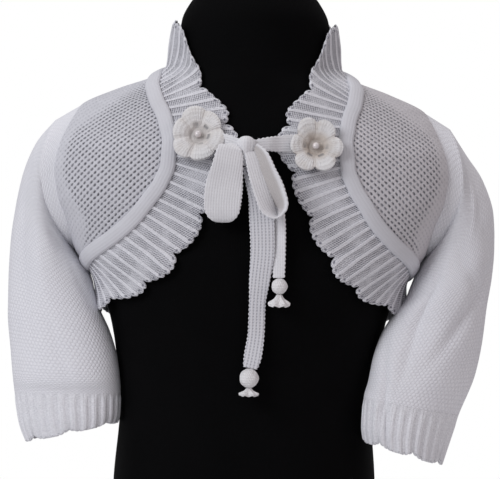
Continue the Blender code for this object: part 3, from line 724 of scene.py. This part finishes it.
class Sleeve:
    """A sleeve with its cuff, as a surface of rings that starts on the armhole."""

    def __init__(self, side, table, creases):
        self.side = side
        self.creases = creases
        self.columns = columns_of(table, list(range(1, len(table) + 1)))

    def ring(self, row, around, inset):
        """Points of a free ring, with its wall's inset, its creases and its bulge."""
        row, around = np.broadcast_arrays(np.asarray(row, float), around)
        outer_x, outer_z, inner_x, inner_z, depth, y, turn, bulge = [column(row) for column in self.columns]
        across = place_of(outer_x - inner_x, 0, outer_z - inner_z)
        half = np.linalg.norm(across, axis=-1) / 2
        across = unit(across)
        arm = place_of(across[..., 2], 0, -across[..., 0])
        tilt, angle = radians(turn), radians(around)
        depth = depth - inset
        half_width = np.sqrt((half - inset) ** 2 - (depth * sin(tilt)) ** 2) / cos(tilt)
        width_way = times(across, cos(tilt)) + place_of(0, sin(tilt), 0)
        depth_way = place_of(0, -cos(tilt), 0) + times(across, sin(tilt))
        spoke = times(width_way, half_width * cos(angle)) + times(depth_way, depth * sin(angle))
        trough = 0 * row
        for place, at, spread, length, deep, drift in self.creases:
            off = (around - place - drift * (row - at) + 180) % 360 - 180
            trough = trough + deep * np.exp(-(off / spread) ** 2 - ((row - at) / length) ** 2)
        spoke = spoke - times(unit(spoke), trough)
        centre = place_of((outer_x + inner_x) / 2, y, (outer_z + inner_z) / 2)
        return centre + spoke + times(arm, bulge * sin(angle) ** 2)

    def root(self, around):
        """Points of the armhole seam that the wall starts from, just clear of the panels' edge."""
        near = armhole_place(around, 1, SEAM)
        skin = raised(*near, CLEARANCE)
        normal = form_axes(*near)[2]
        ahead = armhole_place(around + 1, 1, SEAM)
        into = unit(np.cross(normal, raised(*ahead, CLEARANCE) - skin))
        own = unit(np.cross(
            self.ring(1, around + 1, PANEL_WALL) - self.ring(1, around - 1, PANEL_WALL),
            self.ring(1, around, PANEL_WALL) - skin))
        under = smooth((0.3 - dot(own, normal)) / 0.7)
        aside = (1 - under) * (2 * SEAM + np.maximum(0, -PANEL_WALL * dot(own, into)))
        above = under * (PANEL_WALL + 2 * SEAM + PANEL_WALL * np.maximum(0, -dot(own, normal)))
        return skin + times(into, aside) + times(normal, above)

    def point(self, row, around):
        """Inside points of the wall at rows of the table, 0 being the armhole."""
        row, around = np.broadcast_arrays(np.asarray(row, float), around)
        free = self.ring(np.maximum(row, 1), around, PANEL_WALL)
        share = clip(row, 0, 1)
        return blend(self.root(around), free, share[..., None]) * np.array((self.side, 1, 1))

    def normal(self, row, around):
        down = self.point(row + 0.2, around) - self.point(np.maximum(row - 0.2, 0), around)
        round_it = self.point(row, around + 1.5) - self.point(row, around - 1.5)
        return unit(np.cross(round_it, down)) * self.side


def tuck_knit(name):
    """Dense white knit with a low honeycomb of small raised loops."""
    cloth = Finish(name, 0.86)
    across, along = cloth.knit()
    across = across + (cloth.noise(120) - 0.5) * 0.8
    near = None
    for start in (0, 0.5):
        x = (across / TUCK_PITCH + start).off_centre() * 2
        y = (along / (2 * TUCK_ROWS) + start).off_centre() * 3.2
        far = x * x + y * y
        near = far if near is None else near.lesser(far)
    loop = 1 - near.rise(0.05, 1.0)
    cloth.relief(loop + cloth.noise(1500) * 0.6, 0.28)
    white = cloth.mix(cloth.noise(45).rise(0.3, 0.7) * 0.35, TUCK_WHITE, TUCK_PATCH)
    cloth.show(Base_Color=cloth.mix((1 - loop) * 0.2, white, KNIT_SHADE))
    return cloth


def rib_relief(phase, flat=0.13):
    """Flat raised ribs and flat sunk bands by turns, from 0 to 1; phase counts the ribs."""
    return 1 - smooth((np.abs(phase % 1 - 0.5) - flat) / 0.17)


def thinned(v, width, least):
    """The share of its thickness that a wall keeps where it rounds off before its free edge."""
    return np.sqrt(clip(1 - clip((v - 1 + width) / width, 0, 1) ** 2, least, 1))


def rib_knit(name, colour, ladder, edge_eyelets, groove_shade, sunk_half, dot_rows):
    """White rib: raised columns, then sunk ones with rows of small dark gaps between their stitches."""
    cloth = Finish(name, 0.86)
    phase, along = cloth.knit()
    from_edge = cloth.attribute("mark")
    aside = (phase + 0.5).off_centre() * RIB_PITCH
    lengthwise = along + aside * 0.75
    step = lengthwise.fold(1.7) * 1.7
    row = aside.fold(dot_rows) * dot_rows
    dot_far = ((row / 0.4) ** 2 + (step / 0.5) ** 2) ** 0.5
    patchy = cloth.noise(60).rise(0.3, 0.6) * 0.5 + 0.5
    in_sunk_part = 1 - aside.size().rise(sunk_half, sunk_half + 0.4)
    dots = (1 - dot_far.rise(0.5, 1.6)) * in_sunk_part * patchy * ladder
    loop_step = (phase * PICOTS_TO_A_RIB).fold() * (RIB_PITCH * 0.7)
    rim_far = ((loop_step / 0.65) ** 2 + ((from_edge - 2.0) / 0.7) ** 2) ** 0.5
    eyelets = (1 - rim_far.rise(0.5, 1.3)) * edge_eyelets
    hole = dots.greater(eyelets)
    sunk = 1 - aside.size().rise(sunk_half, sunk_half + 0.6)
    between = 1 - (phase.fold() * RIB_PITCH).rise(0.05, 0.6)
    stitches = (along / 1.15 + phase.fold() * 2).wave() * 0.12
    cloth.relief(1 - hole * 0.8 - sunk * 0.2 - between * 0.3 + stitches + cloth.noise(1100) * 0.7, 0.65)
    darker = (*[0.93 * part for part in colour[:3]], 1)
    white = cloth.mix(cloth.noise(70).rise(0.35, 0.7) * 0.3, colour, darker)
    grain = cloth.noise(800).rise(0.35, 0.65) * 0.14
    # Painted shade darkens the sunk bands and the thin line between raised columns, by the strength given
    # for it; the holes are dark gaps and the grain is random tone.
    shaded = (sunk * groove_shade).greater(hole * 0.95).greater(between * groove_shade * 0.5) + grain
    cloth.show(Base_Color=cloth.mix(shaded, white, RIB_SHADE))
    return cloth


def sleeve_surface(shape):
    def surface(u, v):
        row = v * (CUFF_ROW + 1)
        push = shape.normal(row, u * 360) * PANEL_WALL
        return shape.point(row, u * 360), push, (u * TUCKS_ROUND * TUCK_PITCH, v * SLEEVE_LENGTH), 0
    return surface


def cuff_surface(shape, rows):
    start = CUFF_ROW + 1.004

    def surface(u, v):
        lobe = np.abs(sin(pi * CUFF_RIBS / RIBS_IN_A_SCALLOP * u)) ** 0.7
        picot = CUFF_PICOT * np.abs(sin(2 * pi * CUFF_RIBS * u)) ** 0.6
        row = start + (rows - start) * v - (CUFF_SCALLOP * (1 - lobe) - picot) * v * v
        normal = shape.normal(row, u * 360)
        root = 1 - smooth(v / 0.2)
        inner = shape.point(row, u * 360)
        rib = rib_relief(CUFF_RIBS * u) * (1 - root)
        wall = blend(RIB_WALL, PANEL_WALL, root) + CUFF_RIB_HEIGHT * rib
        push = times(normal, wall * thinned(v, 0.06, 0.15))
        return inner, push, (u * CUFF_RIBS, v * CUFF_LENGTH), (1 - v) * CUFF_LENGTH
    return surface


sleeve_knit = tuck_knit("tuck_knit")
cuff_knit = rib_knit("cuff_rib", CUFF_WHITE, 0.15, 0.4, 0.07, 0.9, 1.2)
for side_name, side, table, creases in (
        ("right", 1, RIGHT_SLEEVE, RIGHT_CREASES), ("left", -1, LEFT_SLEEVE, LEFT_CREASES)):
    arm = Sleeve(side, table, creases)
    sleeve = walled("sleeve_" + side_name, 144, 150, sleeve_surface(arm), sleeve_knit, tube=True)
    cuff = walled(
        "cuff_" + side_name, CUFF_RIBS * 8, 36, cuff_surface(arm, len(table)), cuff_knit, tube=True)


# The smooth band is a narrow tube of plain knit, pressed flat and sewn over the edge of fronts and back,
# in four stretches that meet on the shoulders and at the sides. The frill is knitted on to it in broad ribs
# with ladders of small holes, and ends in scallops of small loops.
BAND_THICKNESS = 4.4
BAND_SQUARENESS = 2.4
BAND_SPREAD = 11.4
COLLAR_RIBS = 40
FRONT_RIBS = 36
HEM_RIBS = 48
RIB_HEIGHT = 1.0
SCALLOP_DEPTH = 0.17
SCALLOP_SKEW = 0.78
PICOT_DEPTH = 0.055
RUFFLE = 1.8
NECK_EASE = 1.3
NECK_EASE_LENGTH = 12
COLLAR_BULGE = 4.0
COLLAR_LENGTH = 30
SIDE_FLARE = 8.0
SIDE_FLARE_LENGTH = 26
BAND_WHITE = (0.66, 0.66, 0.70, 1)
BAND_PATCH = (0.61, 0.605, 0.64, 1)
FRILL_WHITE = (0.84, 0.84, 0.885, 1)


def plain_knit(name):
    """Smooth plain knit: fine columns of small v stitches."""
    cloth = Finish(name, 0.86)
    across, along = cloth.knit()
    columns = across.fold(1.5) * 2
    stitches = ((along + columns * 0.6) / 1.1).wave() * 0.5 + 0.5
    cloth.relief(columns * 0.6 + stitches * 0.3 + cloth.noise(1500) * 0.5, 0.22)
    white = cloth.mix(cloth.noise(60).rise(0.3, 0.7) * 0.4, BAND_WHITE, BAND_PATCH)
    cloth.show(Base_Color=cloth.mix(columns * 0.1, white, KNIT_SHADE))
    return cloth


def band_surface(stretch):
    def surface(u, v):
        station, side = stretch(v)
        point, normal, outward = band_frame(station, side)
        sine, cosine = sin(2 * pi * u), cos(2 * pi * u)
        reach = squared(sine, cosine, BAND_SQUARENESS)
        lift = CLEARANCE + BAND_THICKNESS / 2 * (1 + sine * reach)
        middle = point + times(outward, cosine * reach * BAND_SPREAD / 2) + times(normal, lift)
        return middle, middle * 0, (u * 24, station), 0
    return surface


def frill_surface(stretch, ribs):
    def surface(u, v):
        station, side = stretch(u)
        hollow = NECK_EASE * smooth((RIDGE_STATION - station) / NECK_EASE_LENGTH)
        root = beside_band(station, side, 0.2 - BAND_WIDTH / 2 - hollow)
        edge = (mirrored(FRILL_ANGLE(station) + side * shift_at(station), side), FRILL_HEIGHT(station))
        reached = ribs / RIBS_IN_A_SCALLOP * u % 1
        lobe = sin(pi * reached ** SCALLOP_SKEW) ** 0.7
        picot = np.abs(sin(pi * PICOTS_TO_A_RIB * ribs * u)) ** 0.6
        rib = rib_relief(ribs * u, 0.07)
        scallop = SCALLOP_DEPTH * (lobe - 0.6) + PICOT_DEPTH * picot * smooth((v - 0.85) / 0.15)
        share = v * (1 + scallop * v ** 2)
        angle, height = blend(root[0], edge[0], share), blend(root[1], edge[1], share)
        collar = smooth((RIDGE_STATION + COLLAR_LENGTH - station) / COLLAR_LENGTH)
        bulge = COLLAR_BULGE * collar * sin(pi * v)
        flare = SIDE_FLARE * smooth(1 - np.abs(station - SIDE_STATION) / SIDE_FLARE_LENGTH) * v * (side > 0)
        lift = CLEARANCE + FRILL_LIFT(station) * v ** 1.5 + RUFFLE * (lobe - 0.4) * v * v + bulge + flare
        normal = form_axes(angle, height)[2]
        inner = form_point(angle, height) + times(normal, lift)
        wall = RIB_WALL + RIB_HEIGHT * rib * (1 - 0.45 * smooth(v))
        push = times(normal, wall * thinned(v, 0.05, 0.12))
        length = np.linalg.norm(form_point(*edge) - form_point(*root), axis=-1)
        return inner, push, (u * ribs, share * length), (1 - v) * length
    return surface


def front_stretch(side):
    return lambda share: (blend(RIDGE_STATION + SEAM / 2, SIDE_STATION - SEAM / 2, share), side + 0 * share)


def neck_stretch(share):
    return over_back(share, RIDGE_STATION - SEAM / 2, 0)


def hem_stretch(share):
    return over_back(share, SIDE_STATION + SEAM / 2, LAST_STATION)


band_knit = plain_knit("band_knit")
frill_knit = rib_knit("frill_rib", FRILL_WHITE, 0.9, 0.95, 0.16, 1.55, 1.05)
STRETCHES = {
    # name: (stretch, ribs, band's length, frill's length and width, in metres)
    "front_right": (front_stretch(1), FRONT_RIBS, 0.235, (0.25, 0.042)),
    "front_left": (front_stretch(-1), FRONT_RIBS, 0.235, (0.25, 0.042)),
    "neck": (neck_stretch, COLLAR_RIBS, 0.185, (0.16, 0.038)),
    "hem": (hem_stretch, HEM_RIBS, 0.315, (0.27, 0.041)),
}
for stretch_name, (stretch, ribs, band_length, frill_flat) in STRETCHES.items():
    band = rounded("band_" + stretch_name, 24, 120, band_surface(stretch), band_knit)
    frill = walled("frill_" + stretch_name, ribs * 8, 34, frill_surface(stretch, ribs), frill_knit)


# The two flowers are crocheted in slightly creamier cotton: a small round middle, a ring of slits, and six
# puffed petals. Each is sewn on to the frill by its middle, with one pearl bead on it.
FLOWER_RADIUS = 20.5
FLOWER_PETALS = 6
FLOWER_LIFT = 3.7
PEARL_RADIUS = 2.6
PEARL_LIFT = 2.4
FLOWERS = {
    # side: middle x and z, turn of the petals, cup of the outer edge, way to the open slits, depth of the
    # notches, and how warm the cotton looks, with the painted shade between its petals
    "left": (-39.5, 294.5, 0.25, 3.0, 0.3, 0.15, 0.35),
    "right": (46, 288.5, 0.05, 4.5, 4.6, 0.27, 0.95),
}
SLIT_RING = 8.0
CREAM = (0.76, 0.75, 0.755, 1)
WARM_CREAM_AND_CREASE_SHADE = (0.60, 0.53, 0.47, 1)
CREAM_PATCH = (0.64, 0.60, 0.565, 1)
SLIT_SHADE = (0.22, 0.22, 0.23, 1)
PEARL_PINK = (0.80, 0.73, 0.71, 1)
PEARL_GREY = (0.72, 0.68, 0.69, 1)
POLE = 0.004


def crochet(name, warm, start):
    """Creamy crochet cotton: rows of raised posts that run out from the middle."""
    cloth = Finish(name, 0.88)
    turn, radius = cloth.knit()
    slit_ring = cloth.attribute("mark")
    posts = (turn * 54).fold() * 2
    rows = radius.fold(3.4) * 2
    inner = 1 - radius.rise(7.0, 14.0)
    edge = (turn * FLOWER_PETALS + start).fold()
    between = (1 - edge.rise(0.02, 0.2)) * radius.rise(6.0, 11.0)
    cloth.relief(posts * 0.4 + rows * 0.5 + cloth.noise(900) - between * 0.6 - slit_ring * 1.6, 0.6)
    # The warm cream tints the middle, the cotton's own tone, and the creases between petals, where it is
    # painted shade; warm sets how strong both are.
    cream = cloth.mix(inner.greater(between * 0.4) * warm, CREAM, WARM_CREAM_AND_CREASE_SHADE)
    tinted = cloth.mix(cloth.noise(110).rise(0.4, 0.7) * (0.2 + warm * 0.4), cream, CREAM_PATCH)
    cloth.show(Base_Color=cloth.mix(slit_ring * 0.9, tinted, SLIT_SHADE))
    return cloth


def flower_frame(x, z):
    """A flower's middle on the form, and its axes: across, up and out."""
    angle = 0.0
    for _ in range(20):
        angle += (x - raised(angle, z, FLOWER_LIFT)[0]) / form_axes(angle, z)[0][0]
    out = form_axes(angle, z)[2]
    across = unit(np.cross(out, (0, 0, 1))) * -1
    return raised(angle, z, FLOWER_LIFT), across, np.cross(across, out) * -1, out


def flower_surface(frame_axes, start, cup, slits_at, notch):
    middle, across, up, out = frame_axes

    def surface(u, v):
        petal = np.abs(cos(pi * (FLOWER_PETALS * u + start)))
        turn = 2 * pi * u
        uneven = 1 - 0.06 * cos(2 * turn) + 0.04 * cos(3 * turn + 1)
        reach = FLOWER_RADIUS * (1 - notch + notch * petal ** 0.5) * uneven
        upper = v < 0.5
        share = sin(pi * clip(v, POLE, 1 - POLE))
        mound = 1.8 * np.exp(-(share / 0.3) ** 2)
        lobe = clip((share - 0.3) / 0.7, 0, 1)
        plump = 1 + 0.22 * cos(turn * 2 + 1) + 0.15 * cos(turn * 3)
        puff = (2.4 + 2.6 * petal ** 0.8 * plump) * sin(pi * lobe ** 0.9 * 0.92) ** 0.6
        dimple = 0.9 * np.exp(-((share - 0.66) / 0.2) ** 2) * petal ** 2
        height = cup * share ** 2 + 0.4 + np.where(upper, 1.0 + mound + puff - dimple, 0)
        spread = reach * share
        flat = times(across, spread * cos(turn)) + times(up, spread * sin(turn))
        point = middle + flat + times(out, height)
        near_side = smooth(0.5 + 0.9 * cos(turn - slits_at))
        slit = np.exp(-(spread - SLIT_RING) ** 2) * smooth((petal - 0.6) / 0.25) * upper * near_side
        return point, point * 0, (u, spread), slit
    return surface


pearl_gloss = Finish("pearl", 0.16, Coat_Weight=1.0, Coat_Roughness=0.06)
pearl_gloss.show(Base_Color=pearl_gloss.mix(pearl_gloss.noise(260).rise(0.3, 0.7), PEARL_PINK, PEARL_GREY))
for side_name, (flower_x, flower_z, start, cup, slits_at, notch, warm) in FLOWERS.items():
    axes = flower_frame(flower_x, flower_z)
    flower = rounded(
        "flower_" + side_name, 180, 72, flower_surface(axes, start, cup, slits_at, notch),
        crochet("crochet_" + side_name, warm, start))
    bead = bmesh.new()
    bmesh.ops.create_uvsphere(bead, u_segments=32, v_segments=20, radius=PEARL_RADIUS)
    bmesh.ops.translate(bead, vec=Vector(axes[0] + axes[3] * (PEARL_RADIUS + PEARL_LIFT)), verts=bead.verts)
    finished("pearl_" + side_name, bead, pearl_gloss)


# The ties are two flat strips of soft knit with open columns. They start under the flowers and are tied once
# into a bow: knot, two loops and two free tails.
# Rows of a route, in mm: x, y, z, turn of the strip's width from X towards Y, and width.
TIE_WALL = 2.2
TIE_ROUTES = {
    "tie_root_left": (
        (-22.6, -70.9, 292.5, 0, 13), (-18, -73.6, 292, 0, 12), (-13, -76.8, 290.5, 0, 11),
        (-9.3, -78.2, 289.5, 0, 9),
    ),
    "tie_root_right": (
        (32, -68.6, 292.5, 0, 14), (25, -70.8, 292.3, 0, 13), (20, -72.5, 292, 0, 12),
        (11, -77, 291.5, 0, 10), (0.3, -78.4, 290, 0, 8),
    ),
    "bow_loop_left": (
        (-13.2, -81.5, 290, 22, 7), (-15.5, -86.8, 287, 12, 18), (-17.5, -89.5, 274, 8, 23),
        (-20, -89.5, 256, 2, 27.5), (-20.6, -88.6, 245.5, -2, 26.6), (-20.5, -87.9, 241.3, -2, 24.8),
        (-20.4, -86.8, 238, -3, 21.2), (-20.3, -85.6, 235.9, -3, 17), (-20.2, -84, 234.8, -4, 11.5),
        (-20, -82.7, 236.6, -4, 15), (-19.8, -81.6, 240, -4, 19),
        (-19.5, -81, 244, -4, 22), (-18, -80, 256, 0, 21), (-14.5, -81, 272, 4, 16),
        (-12.4, -80.6, 281, 8, 6),
    ),
    "bow_loop_right": (
        (-1.5, -84.8, 285, 14, 8), (1.2, -87, 277, 16, 11), (4.2, -88.8, 267, 18, 12.5),
        (8, -90.7, 255, 22, 12.5), (13, -91.5, 244, 38, 14), (19.4, -91.5, 238.3, 80, 14),
        (22.5, -92, 246, 118, 16.5), (18.5, -92, 257, 138, 16.5), (12.5, -90.8, 271, 144, 13),
        (7.5, -87.8, 283, 146, 9.5), (2.5, -83.6, 289, 130, 7),
    ),
    "tail_long": (
        (-3.3, -80.4, 274.9, 20, 8), (1, -82, 266, 10, 12), (6, -82.8, 252, 6, 16), (8.2, -82.8, 236, 0, 18),
        (9.3, -82.4, 214, -4, 17.6), (7.6, -81, 192, 2, 15), (6.4, -80, 174, 8, 12), (6.2, -79, 156, 2, 12),
        (4.2, -78.5, 138, -6, 13), (2.4, -78.5, 128.7, -4, 10.5),
    ),
    "tail_short": (
        (0.8, -77.6, 281.9, -30, 8), (11, -78.5, 266, -34, 11), (18, -79.5, 250, -30, 11),
        (20.5, -80.5, 232, -22, 11), (21.2, -81.5, 212, -16, 10), (21.6, -82, 194.7, -10, 8.5),
    ),
}
# How much darker the inner face of a loop's back half is, where the loop stands open to the front.
LOOP_SHADE = {"bow_loop_right": 0.75}
KNOT_MIDDLE = (-4.4, -81, 286)
KNOT_HALF = (5.2, 5.2, 11)
TIE_FILL = 0.85
STITCH_STEP = 2.2
SELVEDGE_PITCH = 3.1
DOTTED_WHITE = (0.71, 0.71, 0.75, 1)
CLOSE_WHITE = (0.78, 0.775, 0.80, 1)
TIE_PATCH = (0.67, 0.66, 0.69, 1)
GAP_SHADE = (0.36, 0.36, 0.41, 1)
HOLLOW_SHADE = (0.42, 0.385, 0.37, 1)


def tie_knit(name, dots, columns, white):
    """Thin knit of a tie: raised columns with lines of small gaps between them."""
    cloth = Finish(name, 0.86)
    across, along = cloth.knit()
    line = across.fold(columns) * columns
    step = along.fold(STITCH_STEP) * STITCH_STEP
    far = ((line / 0.55) ** 2 + (step / 0.7) ** 2) ** 0.5
    gap = (1 - far.rise(0.5, 1.4)) * dots
    sunk = 1 - line.rise(0.1, 0.9)
    cloth.relief(1 - gap * 0.8 - sunk * 0.25 + cloth.noise(1500) * 0.4, 0.4)
    patched = cloth.mix(cloth.noise(80).rise(0.35, 0.7) * 0.35, white, TIE_PATCH)
    shaded = (sunk * (0.05 + 0.15 * dots)).greater(gap * 0.85)
    knitted = cloth.mix(shaded, patched, GAP_SHADE)
    cloth.show(Base_Color=cloth.mix(cloth.attribute("mark"), knitted, HOLLOW_SHADE))
    return cloth


def tie_surface(route, hollow):
    stations = stations_of(route)
    columns = columns_of(route, stations)
    sideways = abs(route[-1][0] - route[0][0]) > abs(route[-1][2] - route[0][2])

    def surface(u, v):
        at = v * stations[-1]
        x, y, z, turn, width = [column(at) for column in columns]
        before, after = [
            place_of(*[column(spot) for column in columns[:3]]) for spot in (at - 0.5, at + 0.5)]
        along = unit(after - before)
        tilt = radians(turn)
        level = np.array((0, 0, 1.0)) if sideways else place_of(cos(tilt), sin(tilt), 0)
        side = unit(level - times(along, dot(level, along)))
        face = np.cross(side, along)
        angle = 2 * pi * u
        sine, cosine = sin(angle), cos(angle)
        selvedge = 0.35 * sin(2 * pi * at / SELVEDGE_PITCH) * np.abs(cosine) ** 6
        half = width / 2 + selvedge
        rolled = 1 + 0.25 * np.abs(cosine) ** 4
        thick = TIE_WALL / 2 * np.sign(sine) * np.abs(sine) ** 0.6 * rolled
        point = place_of(x, y, z) + times(side, half * cosine) + times(face, thick)
        inside = smooth((v - 0.48) / 0.08) * smooth(-3 * sine) * smooth((cosine + 0.85) / 0.5)
        return point, point * 0, (half * cosine + 1.3, at), hollow * inside
    return surface


dotted_knit = tie_knit("tie_dotted", 0.75, 2.6, DOTTED_WHITE)
close_knit = tie_knit("tie_close", 0.17, 1.9, CLOSE_WHITE)
for tie_name, route in TIE_ROUTES.items():
    length = float(stations_of(route)[-1])
    widest = max(row[4] for row in route)
    strip = rounded(
        tie_name, 56, max(24, round(length / 0.8)), tie_surface(route, LOOP_SHADE.get(tie_name, 0)),
        dotted_knit if tie_name == "tail_long" else close_knit)
    widest * MM
    TIE_FILL * widest * length * MM * MM


def knot_surface(u, v):
    """The wrap of the tie round the bow: a plump pad with folds that run down it."""
    polar = pi * clip(v, POLE, 1 - POLE)
    angle = 2 * pi * u
    fold = 1 + 0.07 * cos(4 * angle + 1.2 + 1.2 * cos(polar)) * sin(polar)
    waist = 1 - 0.08 * np.exp(-((v - 0.4) / 0.08) ** 2)
    broad = 1 + 0.5 * smooth((v - 0.45) / 0.3)
    reach = sin(polar) ** 0.8 * fold * waist
    half_width, half_depth, half_height = KNOT_HALF
    point = KNOT_MIDDLE + place_of(
        half_width * reach * broad * cos(angle), half_depth * reach * sin(angle), -half_height * cos(polar))
    return point, point * 0, (u * 30, v * 24), 0


rounded("bow_knot", 72, 60, knot_surface, close_knit)


# A crocheted bobble ends each tail, sewn on, with a little waved frill of the same cotton under it.
# Rows: middle, radius, frill's middle height, frill's radius.
BOBBLES = {
    "long": ((1.8, -79, 121.4), 7.0, 111.3, 6.2),
    "short": ((22.2, -82.6, 188.6), 5.8, 178.2, 6.8),
}
ROUND_HEIGHT = 1.9
BOBBLE_WHITE = (0.85, 0.84, 0.85, 1)
BOBBLE_SHADE = (0.55, 0.53, 0.54, 1)
FRILL_RINGS = Column((0, 1, 2, 3, 4), (0.25, 0.5, 1.0, 0.9, 0.3))
FRILL_DROPS = Column((0, 1, 2, 3, 4), (0.0, 0.35, 0.75, 1.0, 0.8))


def bobble_knit(name):
    """Tight rounds of crochet in the flowers' cotton."""
    cloth = Finish(name, 0.88)
    across, along = cloth.knit()
    rows = along.fold(ROUND_HEIGHT) * 2
    posts = (across / 1.7 + along / (2 * ROUND_HEIGHT)).fold() * 2
    cloth.relief(rows * 0.6 + posts * 0.5 + cloth.noise(1300) * 0.6, 0.45)
    cloth.show(Base_Color=cloth.mix(rows * posts * 0.3, BOBBLE_WHITE, BOBBLE_SHADE))
    return cloth


def ball_surface(middle, radius):
    def surface(u, v):
        polar = pi * clip(v, POLE, 1 - POLE)
        angle = 2 * pi * u
        lump = radius * (1 + 0.025 * cos(7 * angle) * sin(5 * polar))
        point = middle + place_of(
            lump * sin(polar) * cos(angle), lump * sin(polar) * sin(angle), -lump * cos(polar))
        return point, point * 0, (u * radius * 6.3, v * radius * 3.1), 0
    return surface


def little_frill_surface(middle, radius, frill_height, frill_radius):
    top = middle[2] - radius - SEAM

    def surface(u, v):
        angle = 2 * pi * u
        share, drop = FRILL_RINGS(v * 4), FRILL_DROPS(v * 4)
        reach = frill_radius * share * (1 + 0.2 * cos(6 * angle) * share)
        height = blend(top, 2 * frill_height - top, drop) + 0.5 * cos(6 * angle) * share
        point = place_of(middle[0] + reach * cos(angle), middle[1] + 0.75 * reach * sin(angle), height)
        return point, point * 0, (u * 34, v * 14), 0
    return surface


bobble_cotton = bobble_knit("bobble_crochet")
for bobble_name, (middle, radius, *frill_sizes) in BOBBLES.items():
    rounded("bobble_" + bobble_name, 64, 40, ball_surface(middle, radius), bobble_cotton)
    rounded(
        "bobble_frill_" + bobble_name, 96, 28,
        little_frill_surface(middle, radius, *frill_sizes), bobble_cotton)
